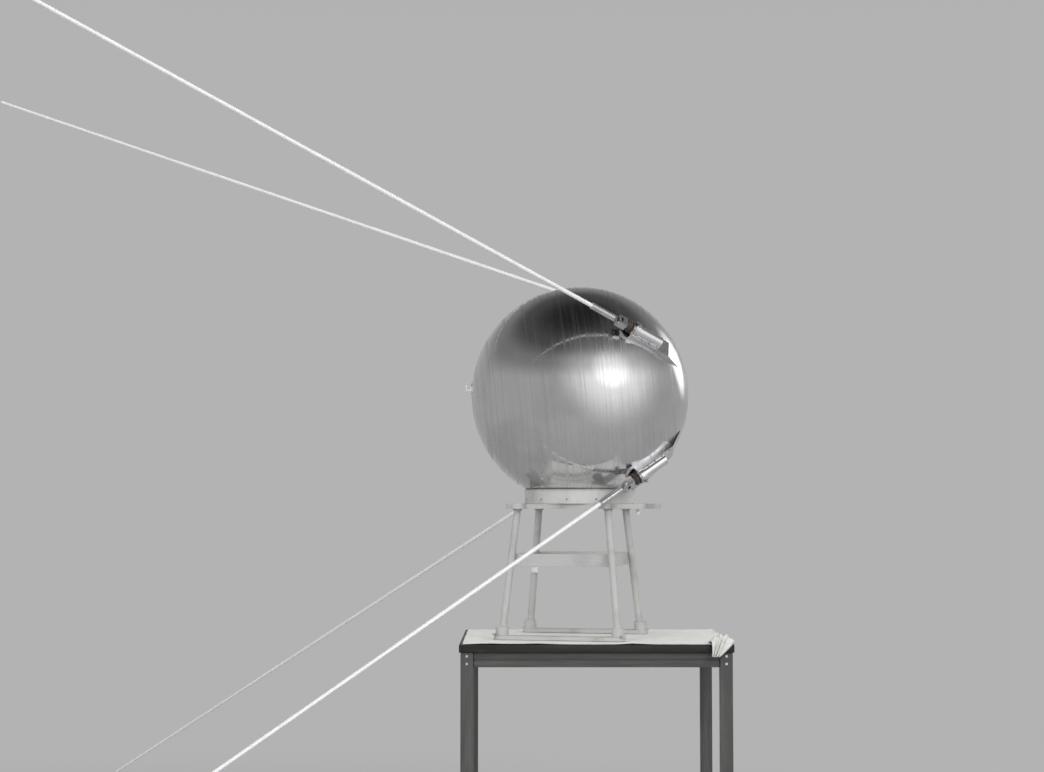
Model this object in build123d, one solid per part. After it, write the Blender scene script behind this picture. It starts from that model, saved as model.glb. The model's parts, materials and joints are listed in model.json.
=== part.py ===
from build123d import *
import os
from math import cos, radians, sin, sqrt

# Ball-shaped radio satellite with four long whip antennas, on its assembly stand and low bench.
# Millimetres, +Z up. The bench is square to X and Y, and the antennas point towards -X.
# The pieces are laid out around the point on the floor below the ball's centre, and the whole
# part is then moved so that its origin is the bottom centre of its overall box.

# Ball
ball_radius = 290.0
rear_wall = 2.0
front_wall = 3.0
seam_width = 2.0
seam_depth = 0.4
joint_ring_width = 24.0
joint_ring_depth = 9.0
nose_yaw = 0.7
nose_up = 5.4

# Power block, one eight-sided nut shape on a carrier plate at the seam
block_length = 270.0
block_shell_clearance = 8.6
carrier_thickness = 6.0
carrier_clearance = 0.3

# Antennas: azimuth is turned from straight up towards the viewer at -Y, seen about the nose
# axis; spread is the angle between the whip and the rear axis; sway turns the fitting on the ball,
# about the line out from the ball's centre; length is overall, fitting included.
short_antenna = 2400.0
long_antenna = 2900.0
antennas = [
    # name, azimuth, spread, sway, length
    ("near_upper", 59.8, 37.9, -11.2, long_antenna),
    ("far_upper", -33.9, 34.1, -4.8, short_antenna),
    ("near_lower", 145.8, 34.8, -2.3, short_antenna),
    ("far_lower", -111.2, 45.9, -6.8, long_antenna),
]
whip_axis_height = 14.0
saddle_front = 122.0
saddle_rear = 84.0
saddle_width = 46.0
saddle_point_width = 8.0
saddle_top = 9.0
saddle_nose_run = 58.0
saddle_seat_gap = 0.2
tail_gap = 1.0
socket_radius = 15.0
socket_start = -30.0
socket_end = 62.0
clamp_radius = 20.0
clamp_width = 14.0
clamp_lug_height = 12.0
insulator_radius = 12.0
insulator_shed_radius = 17.0
insulator_length = 16.0
stem_radius = 8.0
stem_root_gap = 1.0
hinge_reach = 106.0
fork_length = 34.0
fork_width = 26.0
fork_height = 20.0
fork_slot = 12.6
pin_radius = 4.0
pin_clearance = 0.05
pin_head_radius = 7.0
pin_head_thickness = 3.0
knuckle_width = 12.0
knuckle_radius = 9.0
knuckle_length = 40.0
knuckle_gap = 0.3
tongue_height = 12.6
ferrule_setback = 5.0
whip_root_radius = 5.5
whip_tip_radius = 4.5
ferrule_radius = 8.5
ferrule_length = 46.0
whip_sections = 3
swage_length = 8.0
cut_margin = 1.0

# Small fittings on the ball, each on a round flange
valve_polar = 22.0
valve_azimuth = -74.0
valve_flange_radius = 30.0
valve_stub_radius = 9.0
valve_stub_length = 16.0
heel_polar = 172.0
heel_azimuth = 0.0
heel_flange_radius = 26.0
heel_button_radius = 7.0
heel_button_length = 14.0
connector_polar = 152.0
connector_azimuth = -70.0
connector_flange_radius = 38.0
connector_bore_radius = 22.0
connector_wall = 4.0
connector_depth = 20.0
flange_thickness = 6.0

# Stand: a ring collar on a welded top frame, four splayed tube legs, a mid brace and base rails
collar_inner_radius = 143.5
collar_wall = 4.0
collar_seat_gap = 0.3
stand_height = 352.0
stand_yaw = -14.0
stand_offset_x = -20.0
frame_bar_width = 34.0
frame_bar_thickness = 13.0
frame_bar_length = 373.0
frame_bar_shift = 33.0
frame_cross_length = 330.0
frame_bar_spacing = 230.0
leg_radius = 9.5
leg_foot_spacing = 310.0
leg_top_spacing = 242.0
foot_radius = 17.0
foot_height = 22.0
base_rail_thickness = 10.0
base_rail_width = 40.0
brace_height = 33.0
brace_thickness = 5.0
brace_middle = 205.0
brace_weld_gap = 0.3

# Bench, with a thin cloth laid on its top and hanging over the front at one corner
bench_height = 920.0
bench_offset_x = 33.0
bench_offset_y = 8.0
top_length = 694.0
top_width = 600.0
top_thickness = 20.0
cloth_thickness = 2.0
cloth_margin = 8.0
cloth_lay_gap = 0.2
fold_width = 60.0
fold_height = 12.0
fold_run = 70.0
fold_drop = 36.0
fold_end_inset = 4.0
apron_height = 37.0
apron_thickness = 20.0
apron_inset = 4.0
apron_groove = 2.0
bench_leg_size = 32.0
stretcher_height = 30.0
stretcher_thickness = 18.0
stretcher_level = 150.0

# Levels and the ball's frame, worked out from the sizes above
stand_floor = bench_height + cloth_lay_gap + cloth_thickness
plate_level = stand_floor + stand_height
ball_level = plate_level + ball_radius
ball_centre = Vector(0, 0, ball_level)
nose_axis = Vector(
    cos(radians(nose_yaw)) * cos(radians(nose_up)),
    sin(radians(nose_yaw)) * cos(radians(nose_up)),
    sin(radians(nose_up)),
)
ball_up = Vector(
    -cos(radians(nose_yaw)) * sin(radians(nose_up)),
    -sin(radians(nose_yaw)) * sin(radians(nose_up)),
    cos(radians(nose_up)),
)
ball_frame = Plane(origin=ball_centre, x_dir=ball_up, z_dir=nose_axis)

pieces = {}
upward = (Align.CENTER, Align.CENTER, Align.MIN)


def place(frame, shape):
    """Moves a shape drawn about the origin into the given frame."""
    return frame.location * shape


def outward(polar, azimuth):
    """Unit vector from the ball's centre, polar from the nose, azimuth from up towards -Y."""
    tilt = radians(polar)
    turn = radians(azimuth)
    radial = ball_frame.x_dir * cos(turn) + ball_frame.y_dir * sin(turn)
    return ball_frame.z_dir * cos(tilt) + radial * sin(tilt)


def tube(outer, inner, length):
    """Round tube standing on the XY plane."""
    body = Cylinder(outer, length, align=upward)
    bore = Cylinder(inner, length, align=upward)
    return body - bore


def axis_rod(radius, start, end):
    """Round bar along a whip's axis between two stations from the middle of its saddle."""
    plane = Plane(origin=(start, 0, whip_axis_height), x_dir=(0, 1, 0), z_dir=(1, 0, 0))
    return extrude(plane * Circle(radius), amount=end - start)


def hinge_rod(radius, width):
    """Round bar across the whip's axis, centred on the hinge."""
    return Pos(hinge_reach, 0, whip_axis_height) * Rot(90, 0, 0) * Cylinder(radius, width)


# Ball shells: two thin half balls either side of the seam
def half_shell(wall, keep):
    shell = Sphere(ball_radius) - Sphere(ball_radius - wall)
    side = seam_width / 2 if keep == Keep.TOP else -seam_width / 2
    return split(shell, bisect_by=Plane.XY.offset(side), keep=keep)


pieces["front_shell"] = place(ball_frame, half_shell(front_wall, Keep.TOP))
pieces["rear_shell"] = place(ball_frame, half_shell(rear_wall, Keep.BOTTOM))

# Joint ring: a band inside both shells with a narrow rib that shows in the seam
ring_outer = sqrt((ball_radius - front_wall) ** 2 - (joint_ring_width / 2) ** 2) - carrier_clearance
ring_inner = ring_outer - joint_ring_depth
ring_band = place(Plane.XY.offset(-joint_ring_width / 2), tube(ring_outer, ring_inner, joint_ring_width))
ring_rib = place(Plane.XY.offset(-seam_width / 2), tube(ball_radius - seam_depth, ring_inner, seam_width))
pieces["joint_ring"] = place(ball_frame, ring_band + ring_rib)

# Power block and the carrier plate that holds it in the joint ring
block_reach = ball_radius - front_wall - block_shell_clearance
block_corner_radius = sqrt(block_reach**2 - (block_length / 2) ** 2)
block_outline = RegularPolygon(block_corner_radius, 8)
block = extrude(Plane.XY.offset(-block_length / 2) * block_outline, amount=block_length)
pieces["power_block"] = place(ball_frame, block)
carrier_outline = Circle(ring_inner) - RegularPolygon(block_corner_radius + carrier_clearance, 8)
carrier = extrude(Plane.XY.offset(-carrier_thickness / 2) * carrier_outline, amount=carrier_thickness)
pieces["block_carrier"] = place(ball_frame, carrier)


# Small round fittings whose flange is hollowed to sit on the ball
def fitting_frame(polar, azimuth):
    normal = outward(polar, azimuth)
    side = ball_frame.y_dir
    return Plane(origin=ball_centre + normal * ball_radius, x_dir=side.cross(normal), z_dir=normal)


def fitting_flange(radius):
    sink = ball_radius - sqrt(ball_radius**2 - radius**2)
    disc = Cylinder(radius, flange_thickness + sink, align=upward)
    seat = Pos(0, 0, -ball_radius) * Sphere(ball_radius + saddle_seat_gap)
    return Pos(0, 0, -sink) * disc - seat


valve_frame = fitting_frame(valve_polar, valve_azimuth)
valve_stub = Cylinder(valve_stub_radius, valve_stub_length, align=upward)
valve = fitting_flange(valve_flange_radius) + Pos(0, 0, flange_thickness) * valve_stub
pieces["filling_valve"] = place(valve_frame, valve)

heel_frame = fitting_frame(heel_polar, heel_azimuth)
heel_button = Cylinder(heel_button_radius, heel_button_length, align=upward)
heel = fitting_flange(heel_flange_radius) + Pos(0, 0, flange_thickness) * heel_button
pieces["heel_contact"] = place(heel_frame, heel)

connector_frame = fitting_frame(connector_polar, connector_azimuth)
connector_rim = tube(connector_bore_radius + connector_wall, connector_bore_radius, connector_depth)
connector = fitting_flange(connector_flange_radius) + Pos(0, 0, flange_thickness) * connector_rim
pieces["test_connector"] = place(connector_frame, connector)


# Antenna fittings, drawn with X along the whip and Z away from the ball
stem_start = socket_start + clamp_radius + stem_root_gap


def antenna_frame(azimuth, spread, sway):
    normal = outward(90.0 - spread, azimuth)
    radial = (normal - ball_frame.z_dir * sin(radians(spread))) * (1 / cos(radians(spread)))
    straight = radial * sin(radians(spread)) - ball_frame.z_dir * cos(radians(spread))
    along = straight * cos(radians(sway)) + normal.cross(straight) * sin(radians(sway))
    return Plane(origin=ball_centre + normal * ball_radius, x_dir=along, z_dir=normal)


def saddle():
    """Pointed saddle hollowed to the ball, with the socket tube and its clamp ring."""
    half = saddle_width / 2
    point = saddle_point_width / 2
    plan = make_face(
        Polyline(
            (-saddle_front, -point),
            (-saddle_front + saddle_nose_run, -half),
            (saddle_rear - half, -half),
        )
        + ThreePointArc((saddle_rear - half, -half), (saddle_rear, 0), (saddle_rear - half, half))
        + Polyline(
            (saddle_rear - half, half),
            (-saddle_front + saddle_nose_run, half),
            (-saddle_front, point),
            (-saddle_front, -point),
        )
    )
    low = -saddle_front * saddle_front / ball_radius
    tail_top = whip_axis_height - insulator_shed_radius - tail_gap
    side = make_face(
        Polyline(
            (-saddle_front, low),
            (-saddle_front, low / 2),
            (-saddle_front + saddle_nose_run, saddle_top),
            (socket_end, saddle_top),
            (socket_end, tail_top),
            (saddle_rear, tail_top),
            (saddle_rear, low),
            (-saddle_front, low),
        )
    )
    body = extrude(Plane.XY * plan, amount=saddle_width, both=True)
    body &= extrude(Plane.XZ * side, amount=saddle_width, both=True)
    body += axis_rod(socket_radius, socket_start, socket_end)
    clamp_start = socket_end - clamp_width - pin_radius
    body += axis_rod(clamp_radius, clamp_start, clamp_start + clamp_width)
    lug_top = whip_axis_height + clamp_radius + clamp_lug_height / 2
    lug_middle = clamp_start + clamp_width / 2
    lug = Box(clamp_width, clamp_lug_height, clamp_lug_height)
    body += Pos(lug_middle, 0, lug_top - clamp_lug_height) * lug
    body -= Pos(0, 0, -ball_radius) * Sphere(ball_radius + saddle_seat_gap)
    body -= axis_rod(stem_radius + pin_clearance, stem_start - stem_root_gap, saddle_rear + cut_margin)
    return body


def insulator():
    """Bushing with two sheds between the socket and the fork."""
    start = socket_end
    third = insulator_length / 4
    body = axis_rod(insulator_radius, start, start + insulator_length)
    for step in (0, 2):
        body += axis_rod(insulator_shed_radius, start + step * third, start + (step + 1) * third)
    end = start + insulator_length
    return body - axis_rod(stem_radius + pin_clearance, start - cut_margin, end + cut_margin)


def fork():
    """Root stem with the two ears that hold the hinge pin."""
    shoulder = hinge_reach - fork_length + fork_height / 2
    body = axis_rod(stem_radius, stem_start, shoulder + cut_margin)
    ear = Pos(shoulder, 0, whip_axis_height) * Box(
        hinge_reach - shoulder, fork_width, fork_height, align=(Align.MIN, Align.CENTER, Align.CENTER)
    )
    round_end = hinge_rod(fork_height / 2, fork_width)
    slot_start = hinge_reach - fork_height / 2 - knuckle_gap
    slot = Pos(slot_start, 0, whip_axis_height) * Box(
        fork_height * 2, fork_slot, fork_height * 2, align=(Align.MIN, Align.CENTER, Align.CENTER)
    )
    hole = hinge_rod(pin_radius + pin_clearance, fork_width * 2)
    return body + ear + round_end - slot - hole


def hinge_pin():
    """Headed pin across the fork."""
    length = fork_width + 2 * pin_clearance
    shank = Cylinder(pin_radius, length)
    head = Cylinder(pin_head_radius, pin_head_thickness)
    shift = (length + pin_head_thickness) / 2
    body = shank + Pos(0, 0, shift) * head + Pos(0, 0, -shift) * head
    return Pos(hinge_reach, 0, whip_axis_height) * Rot(90, 0, 0) * body


def knuckle():
    """Tongue on the hinge pin that carries the whip in a ferrule."""
    tongue_end = hinge_reach + knuckle_length
    disc = hinge_rod(knuckle_radius, knuckle_width)
    tongue = Pos(hinge_reach, 0, whip_axis_height) * Box(
        knuckle_length, knuckle_width, tongue_height, align=(Align.MIN, Align.CENTER, Align.CENTER)
    )
    ferrule_start = hinge_reach + fork_height / 2 + ferrule_setback
    sleeve = axis_rod(ferrule_radius, ferrule_start, tongue_end + ferrule_length)
    hole = hinge_rod(pin_radius + pin_clearance, fork_width)
    sleeve_end = tongue_end + ferrule_length
    socket = axis_rod(whip_root_radius + pin_clearance, tongue_end, sleeve_end + cut_margin)
    return disc + tongue + sleeve - hole - socket


def whip(length):
    """Whip drawn down in steps, with a rounded tip, from its ferrule to the antenna's overall length."""
    start = hinge_reach + knuckle_length
    end = length - saddle_front - whip_tip_radius
    section = (end - start) / whip_sections
    radius_step = (whip_root_radius - whip_tip_radius) / (whip_sections - 1)
    outline = [(start, 0), (start, whip_root_radius)]
    for number in range(1, whip_sections):
        station = start + number * section
        radius = whip_root_radius - number * radius_step
        outline += [(station - swage_length, radius + radius_step), (station, radius)]
    outline.append((end, whip_tip_radius))
    cap_share = cos(radians(45)) * whip_tip_radius
    profile = make_face(
        Polyline(*outline)
        + ThreePointArc((end, whip_tip_radius), (end + cap_share, cap_share), (end + whip_tip_radius, 0))
        + Line((end + whip_tip_radius, 0), (start, 0))
    )
    turned = revolve(Plane.XY * profile, axis=Axis.X, revolution_arc=360)
    return Pos(0, 0, whip_axis_height) * turned


for name, azimuth, spread, sway, length in antennas:
    frame = antenna_frame(azimuth, spread, sway)
    pieces[f"{name}_saddle"] = place(frame, saddle())
    pieces[f"{name}_insulator"] = place(frame, insulator())
    pieces[f"{name}_fork"] = place(frame, fork())
    pieces[f"{name}_pin"] = place(frame, hinge_pin())
    pieces[f"{name}_knuckle"] = place(frame, knuckle())
    pieces[f"{name}_whip"] = place(frame, whip(length))

# Stand
collar_height = ball_radius - collar_seat_gap - sqrt(ball_radius**2 - collar_inner_radius**2)
collar = tube(collar_inner_radius + collar_wall, collar_inner_radius, collar_height)
pieces["collar"] = Pos(0, 0, plate_level) * collar

stand_frame = Plane(origin=(stand_offset_x, 0, stand_floor), x_dir=(1, 0, 0)).rotated((0, 0, stand_yaw))
frame_bottom = stand_height - frame_bar_thickness


def flat_bar(length, width, thickness):
    """Flat bar with round ends, along X, standing on the XY plane."""
    return extrude(SlotOverall(length, width), amount=thickness)


top_frame = None
for side in (-1, 1):
    rail = Pos(frame_bar_shift, side * frame_bar_spacing / 2, frame_bottom) * flat_bar(
        frame_bar_length, frame_bar_width, frame_bar_thickness
    )
    cross = Pos(side * frame_bar_spacing / 2, 0, frame_bottom) * Rot(0, 0, 90) * flat_bar(
        frame_cross_length, frame_bar_width, frame_bar_thickness
    )
    top_frame = rail + cross if top_frame is None else top_frame + rail + cross
pieces["stand_top_frame"] = place(stand_frame, top_frame)


def leg_point(corner, level):
    """Centre line of a stand leg at a level above the bench, for a corner given by its signs."""
    share = level / frame_bottom
    half = (leg_foot_spacing + (leg_top_spacing - leg_foot_spacing) * share) / 2
    return Vector(corner[0] * half, corner[1] * half, level)


corners = [(-1, -1), (1, -1), (1, 1), (-1, 1)]
for number, corner in enumerate(corners, start=1):
    foot = leg_point(corner, base_rail_thickness)
    top = leg_point(corner, frame_bottom)
    run = top - foot
    line = Plane(origin=foot - run * 0.1, z_dir=run.normalized())
    leg = extrude(line * Circle(leg_radius), amount=run.length * 1.2)
    block = Pos(foot.X, foot.Y, base_rail_thickness) * Cylinder(foot_radius, foot_height, align=upward)
    leg = split(leg, bisect_by=Plane.XY.offset(base_rail_thickness), keep=Keep.TOP)
    leg = split(leg, bisect_by=Plane.XY.offset(frame_bottom), keep=Keep.BOTTOM)
    pieces[f"stand_leg_{number}"] = place(stand_frame, leg + block)

base_rails = None
for side in (-1, 1):
    rail = Pos(0, side * leg_foot_spacing / 2, 0) * flat_bar(
        leg_foot_spacing + base_rail_width, base_rail_width, base_rail_thickness
    )
    base_rails = rail if base_rails is None else base_rails + rail
pieces["stand_base_rails"] = place(stand_frame, base_rails)

# The brace is a square band of flat strip that lies against the inner sides of the legs
brace_corner = leg_point((1, 1), brace_middle + brace_height / 2).X
brace_reach = brace_corner - (leg_radius + brace_weld_gap) / sqrt(2)
brace_outline = Rectangle(brace_reach * 2, brace_reach * 2)
brace_inner = Rectangle((brace_reach - brace_thickness) * 2, (brace_reach - brace_thickness) * 2)
brace_plane = Plane.XY.offset(brace_middle - brace_height / 2)
brace = extrude(brace_plane * (brace_outline - brace_inner), amount=brace_height)
pieces["stand_brace"] = place(stand_frame, brace)

# Bench, from the top down
top_bottom = bench_height - top_thickness
bench_frame = Plane(origin=(bench_offset_x, bench_offset_y, 0))
bench_top = Pos(0, 0, top_bottom) * Box(top_length, top_width, top_thickness, align=upward)
pieces["bench_top"] = place(bench_frame, bench_top)


def cover_cloth():
    """Thin cloth on the bench top, with a bunched fold that hangs over the front edge."""
    length = top_length - 2 * cloth_margin
    width = top_width - 2 * cloth_margin
    sheet = Box(length, width, cloth_thickness, align=upward)
    front = -top_width / 2 - cloth_lay_gap
    inner = front + fold_run
    outer = front - fold_height
    level = cloth_thickness
    crest = level + fold_height
    profile = make_face(
        Polyline((inner, 0), (inner, level))
        + ThreePointArc((inner, level), (front + fold_run / 2, crest), (front, crest))
        + ThreePointArc(
            (front, crest),
            (front - fold_height * sin(radians(45)), level + fold_height * cos(radians(45))),
            (outer, level),
        )
        + Polyline((outer, level), (outer, -fold_drop), (front, -fold_drop), (front, 0), (inner, 0))
    )
    fold_middle = top_length / 2 - fold_end_inset - fold_width / 2
    fold = Pos(fold_middle, 0, 0) * extrude(Plane.YZ * profile, amount=fold_width / 2, both=True)
    return Pos(0, 0, bench_height + cloth_lay_gap) * (sheet + fold)


pieces["cover_cloth"] = place(bench_frame, cover_cloth())

leg_x = top_length / 2 - apron_inset - bench_leg_size / 2
leg_y = top_width / 2 - apron_inset - bench_leg_size / 2
for number, (sign_x, sign_y) in enumerate(corners, start=1):
    leg = Box(bench_leg_size, bench_leg_size, top_bottom, align=upward)
    pieces[f"bench_leg_{number}"] = place(bench_frame, Pos(sign_x * leg_x, sign_y * leg_y, 0) * leg)


def rails(level, height, thickness):
    """Four rails between the bench legs, as separate bars."""
    bars = []
    for side in (-1, 1):
        front = Box(2 * leg_x - bench_leg_size, thickness, height, align=upward)
        end = Box(thickness, 2 * leg_y - bench_leg_size, height, align=upward)
        bars.append(Pos(0, side * leg_y, level) * front)
        bars.append(Pos(side * leg_x, 0, level) * end)
    return bars


apron_level = top_bottom - apron_height
groove = Pos(0, 0, apron_level + apron_height / 2) * (
    Box(2 * leg_x + 2 * apron_thickness, 2 * leg_y + 2 * apron_thickness, apron_groove)
    - Box(
        2 * leg_x + apron_thickness - 2 * apron_groove,
        2 * leg_y + apron_thickness - 2 * apron_groove,
        apron_groove,
    )
)
apron = [place(bench_frame, bar - groove) for bar in rails(apron_level, apron_height, apron_thickness)]
stretcher_bars = rails(stretcher_level, stretcher_height, stretcher_thickness)
pieces["bench_apron"] = Compound(children=apron)
pieces["bench_stretcher"] = Compound(children=[place(bench_frame, bar) for bar in stretcher_bars])

# Origin at the bottom centre of the overall box
overall = Compound(children=[Compound(shape.wrapped) for shape in pieces.values()]).bounding_box()
shift = Pos(-overall.center().X, -overall.center().Y, -overall.min.Z)

os.makedirs("parts", exist_ok=True)
for name, shape in pieces.items():
    export_step(shift * shape, f"parts/{name}.step")
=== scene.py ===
"""Looks of a ball-shaped radio satellite that sits on its assembly stand and bench.

Everything is in metres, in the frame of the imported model. The classes build what stands around the
fixed pieces: high-detail ball halves, fastenings, insulators, weld beads, boards and the bench cloth.
"""

import json
import logging
import math
from dataclasses import dataclass, replace
from enum import Enum
from functools import cached_property
from typing import Callable, Dict, List, Optional, Sequence, Tuple, Union

import bmesh
import bpy
from mathutils import Matrix, Vector, noise


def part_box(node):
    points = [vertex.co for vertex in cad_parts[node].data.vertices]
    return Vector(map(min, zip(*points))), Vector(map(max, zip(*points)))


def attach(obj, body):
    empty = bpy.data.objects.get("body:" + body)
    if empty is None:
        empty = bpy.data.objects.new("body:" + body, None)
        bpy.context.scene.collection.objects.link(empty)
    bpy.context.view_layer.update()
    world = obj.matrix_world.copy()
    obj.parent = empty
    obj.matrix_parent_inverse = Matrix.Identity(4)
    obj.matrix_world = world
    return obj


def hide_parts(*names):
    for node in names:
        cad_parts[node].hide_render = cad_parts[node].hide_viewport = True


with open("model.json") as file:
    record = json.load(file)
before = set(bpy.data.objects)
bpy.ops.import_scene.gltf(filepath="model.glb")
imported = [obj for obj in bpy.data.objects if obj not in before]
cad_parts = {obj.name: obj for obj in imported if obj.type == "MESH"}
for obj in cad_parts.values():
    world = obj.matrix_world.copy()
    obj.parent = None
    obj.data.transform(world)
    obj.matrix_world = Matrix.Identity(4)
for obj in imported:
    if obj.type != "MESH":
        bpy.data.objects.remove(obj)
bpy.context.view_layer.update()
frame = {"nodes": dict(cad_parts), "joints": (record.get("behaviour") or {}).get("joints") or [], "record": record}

log = logging.getLogger("satellite")

MM = 0.001
IN_MM = (MM, MM)
ON_AXIS = 1e-7
UP = Vector((0, 0, 1))
WHITE = (1.0, 1.0, 1.0)
CORNERS = range(1, 5)
BALL_RADIUS = 290.0 * MM
ROOT_BODY = "satellite_on_stand"

Pair = Tuple[float, float]
Triple = Tuple[float, float, float]
Outline = Sequence[Pair]
Row = Sequence[bmesh.types.BMVert]
Material = bpy.types.Material

# Outlines of a bolt's washer and head and of a screw's lower half, as shares of the head's radius and height.
WASHER = ((0, 0), (1.35, 0), (1.35, 0.154), (1.269, 0.22), (0, 0.22))
HEX_HEAD = ((0, 0.22), (1, 0.22), (1, 0.86), (0.86, 1), (0, 1))
SLOT_FLOOR = 0.45
SCREW_FOOT = ((0, 0), (1, 0), (1, SLOT_FLOOR), (0, SLOT_FLOOR))
SLOT_HALF_WIDTH = 0.16
SCREW_CROWN = 0.94

# Faces round a bead's section, the fewest along it, those to each ripple, and how far a ripple swells.
BEAD_SIDES = 8
BEAD_TURNS = 48
RIPPLE_TURNS = 4
RIPPLE_SWELL = 0.16

# How far the middle of a small rounded edge lies from its sides, as a share of its radius.
ROUND_SHARE = 0.3

# Where a pattern starts to rise, where it is full, and how high it is then, 1 where that isn't given.
Rise = Tuple[float, ...]
EDGE_RISE = (0.02, 0.28)


class Slot(Enum):
    """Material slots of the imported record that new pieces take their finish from."""

    BALL = "polished_aluminium"
    STEEL = "fitting_steel"
    INSULATOR = "insulator"
    STAND = "stand_paint"
    COLLAR = "collar_felt"
    CLOTH = "cover_cloth"
    BENCH_TOP = "bench_dark"
    BENCH_FRAME = "bench_frame"


class Grain(Enum):
    """Row axis that a board's grain runs along."""

    ALONG_X = (0.05, 1.0, 1.0)
    ALONG_Y = (1.0, 0.05, 1.0)
    ALONG_Z = (1.0, 1.0, 0.05)


class Wire:
    """A node's output that takes part in arithmetic, which adds Math nodes behind it."""

    def __init__(self, graph: "Graph", socket: bpy.types.NodeSocket) -> None:
        """Keeps the graph that owns the output socket."""
        self.graph = graph
        self.socket = socket

    def _math(self, operation: str, first: "Value", second: "Value") -> "Wire":
        """Adds one Math node on two values."""
        return self.graph.node("ShaderNodeMath", {"operation": operation}, {0: first, 1: second})

    def __add__(self, other: "Value") -> "Wire":
        """Sum."""
        return self._math("ADD", self, other)

    def __sub__(self, other: "Value") -> "Wire":
        """Difference."""
        return self._math("SUBTRACT", self, other)

    def __rsub__(self, other: "Value") -> "Wire":
        """Difference from a number."""
        return self._math("SUBTRACT", other, self)

    def __mul__(self, other: "Value") -> "Wire":
        """Product."""
        return self._math("MULTIPLY", self, other)

    __radd__ = __add__
    __rmul__ = __mul__

    def most(self, other: "Value") -> "Wire":
        """The larger of two values."""
        return self._math("MAXIMUM", self, other)

    def rise(self, low: float, high: float, full: float = 1.0) -> "Wire":
        """Rises smoothly from 0 at low, which may be the larger end, to full at high."""
        sockets = {"Value": self, "From Min": low, "From Max": high, "To Max": full}
        return self.graph.node("ShaderNodeMapRange", {"interpolation_type": "SMOOTHSTEP"}, sockets)


Value = Union[float, Wire]


class Graph:
    """A node tree under construction."""

    def __init__(self, tree: bpy.types.NodeTree) -> None:
        """Keeps the tree that the nodes are added to."""
        self.tree = tree

    def node(
        self,
        kind: str,
        settings: Optional[Dict[str, object]] = None,
        sockets: Optional[Dict[Union[int, str], object]] = None,
        output: Union[int, str, None] = 0,
    ) -> Optional[Wire]:
        """Adds a node.

        Args:
            kind: Blender's type name of the node.
            settings: Properties that are set first; stops gives a ramp's positions and levels.
            sockets: Values or wires for inputs, by number, name or identifier.
            output: The output that is wanted, or None for a node without one.

        Returns:
            The wire of that output.
        """
        made = self.tree.nodes.new(kind)
        for key, value in (settings or {}).items():
            if key == "stops":
                self._fill_ramp(made.color_ramp, value)
            else:
                setattr(made, key, value)
        for key, value in (sockets or {}).items():
            self._connect(self._find(made.inputs, key), value)
        return Wire(self, self._find(made.outputs, output)) if output is not None else None

    @staticmethod
    def _fill_ramp(ramp: bpy.types.ColorRamp, stops: Sequence[Pair]) -> None:
        """Gives a ramp its grey stops.

        Args:
            ramp: The ramp.
            stops: Position and level of each stop.
        """
        ramp.interpolation = "EASE"
        while len(ramp.elements) < len(stops):
            ramp.elements.new(1.0)
        for element, (position, level) in zip(ramp.elements, stops):
            element.position = position
            element.color = (level, level, level, 1.0)

    @staticmethod
    def _find(sockets: object, key: Union[int, str]) -> bpy.types.NodeSocket:
        """Finds a socket.

        Args:
            sockets: A node's inputs or outputs.
            key: The wanted one's number, identifier or name.

        Returns:
            The socket.
        """
        if isinstance(key, int):
            return sockets[key]
        return next(s for s in sockets if key in (s.identifier, s.name))

    def _connect(self, socket: bpy.types.NodeSocket, value: object) -> None:
        """Links a wire to an input, or sets the input's own value.

        Args:
            socket: The input.
            value: The wire, or the value.
        """
        if isinstance(value, Wire):
            self.tree.links.new(value.socket, socket)
        elif isinstance(value, tuple) and socket.type == "RGBA":
            socket.default_value = (*value[:3], 1.0)
        else:
            socket.default_value = value

    def vector(self, operation: str, first: object, second: object, output: str = "Vector") -> Wire:
        """Adds a Vector Math node."""
        return self.node("ShaderNodeVectorMath", {"operation": operation}, {0: first, 1: second}, output)

    def path(self, kind: str) -> Wire:
        """1 for rays of one kind, and 0 for others."""
        return self.node("ShaderNodeLightPath", output=f"Is {kind} Ray")

    def seen(self) -> Wire:
        """1 for camera, glossy and transmission rays, which see the background, and 0 for light."""
        return self.path("Camera").most(self.path("Glossy")).most(self.path("Transmission"))


@dataclass(frozen=True)
class Cloud:
    """Soft noise, with about so many lumps to the metre, along all axes or along each."""

    lumps: Union[float, Triple]
    detail: float = 4.0
    rough: float = 0.55


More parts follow.
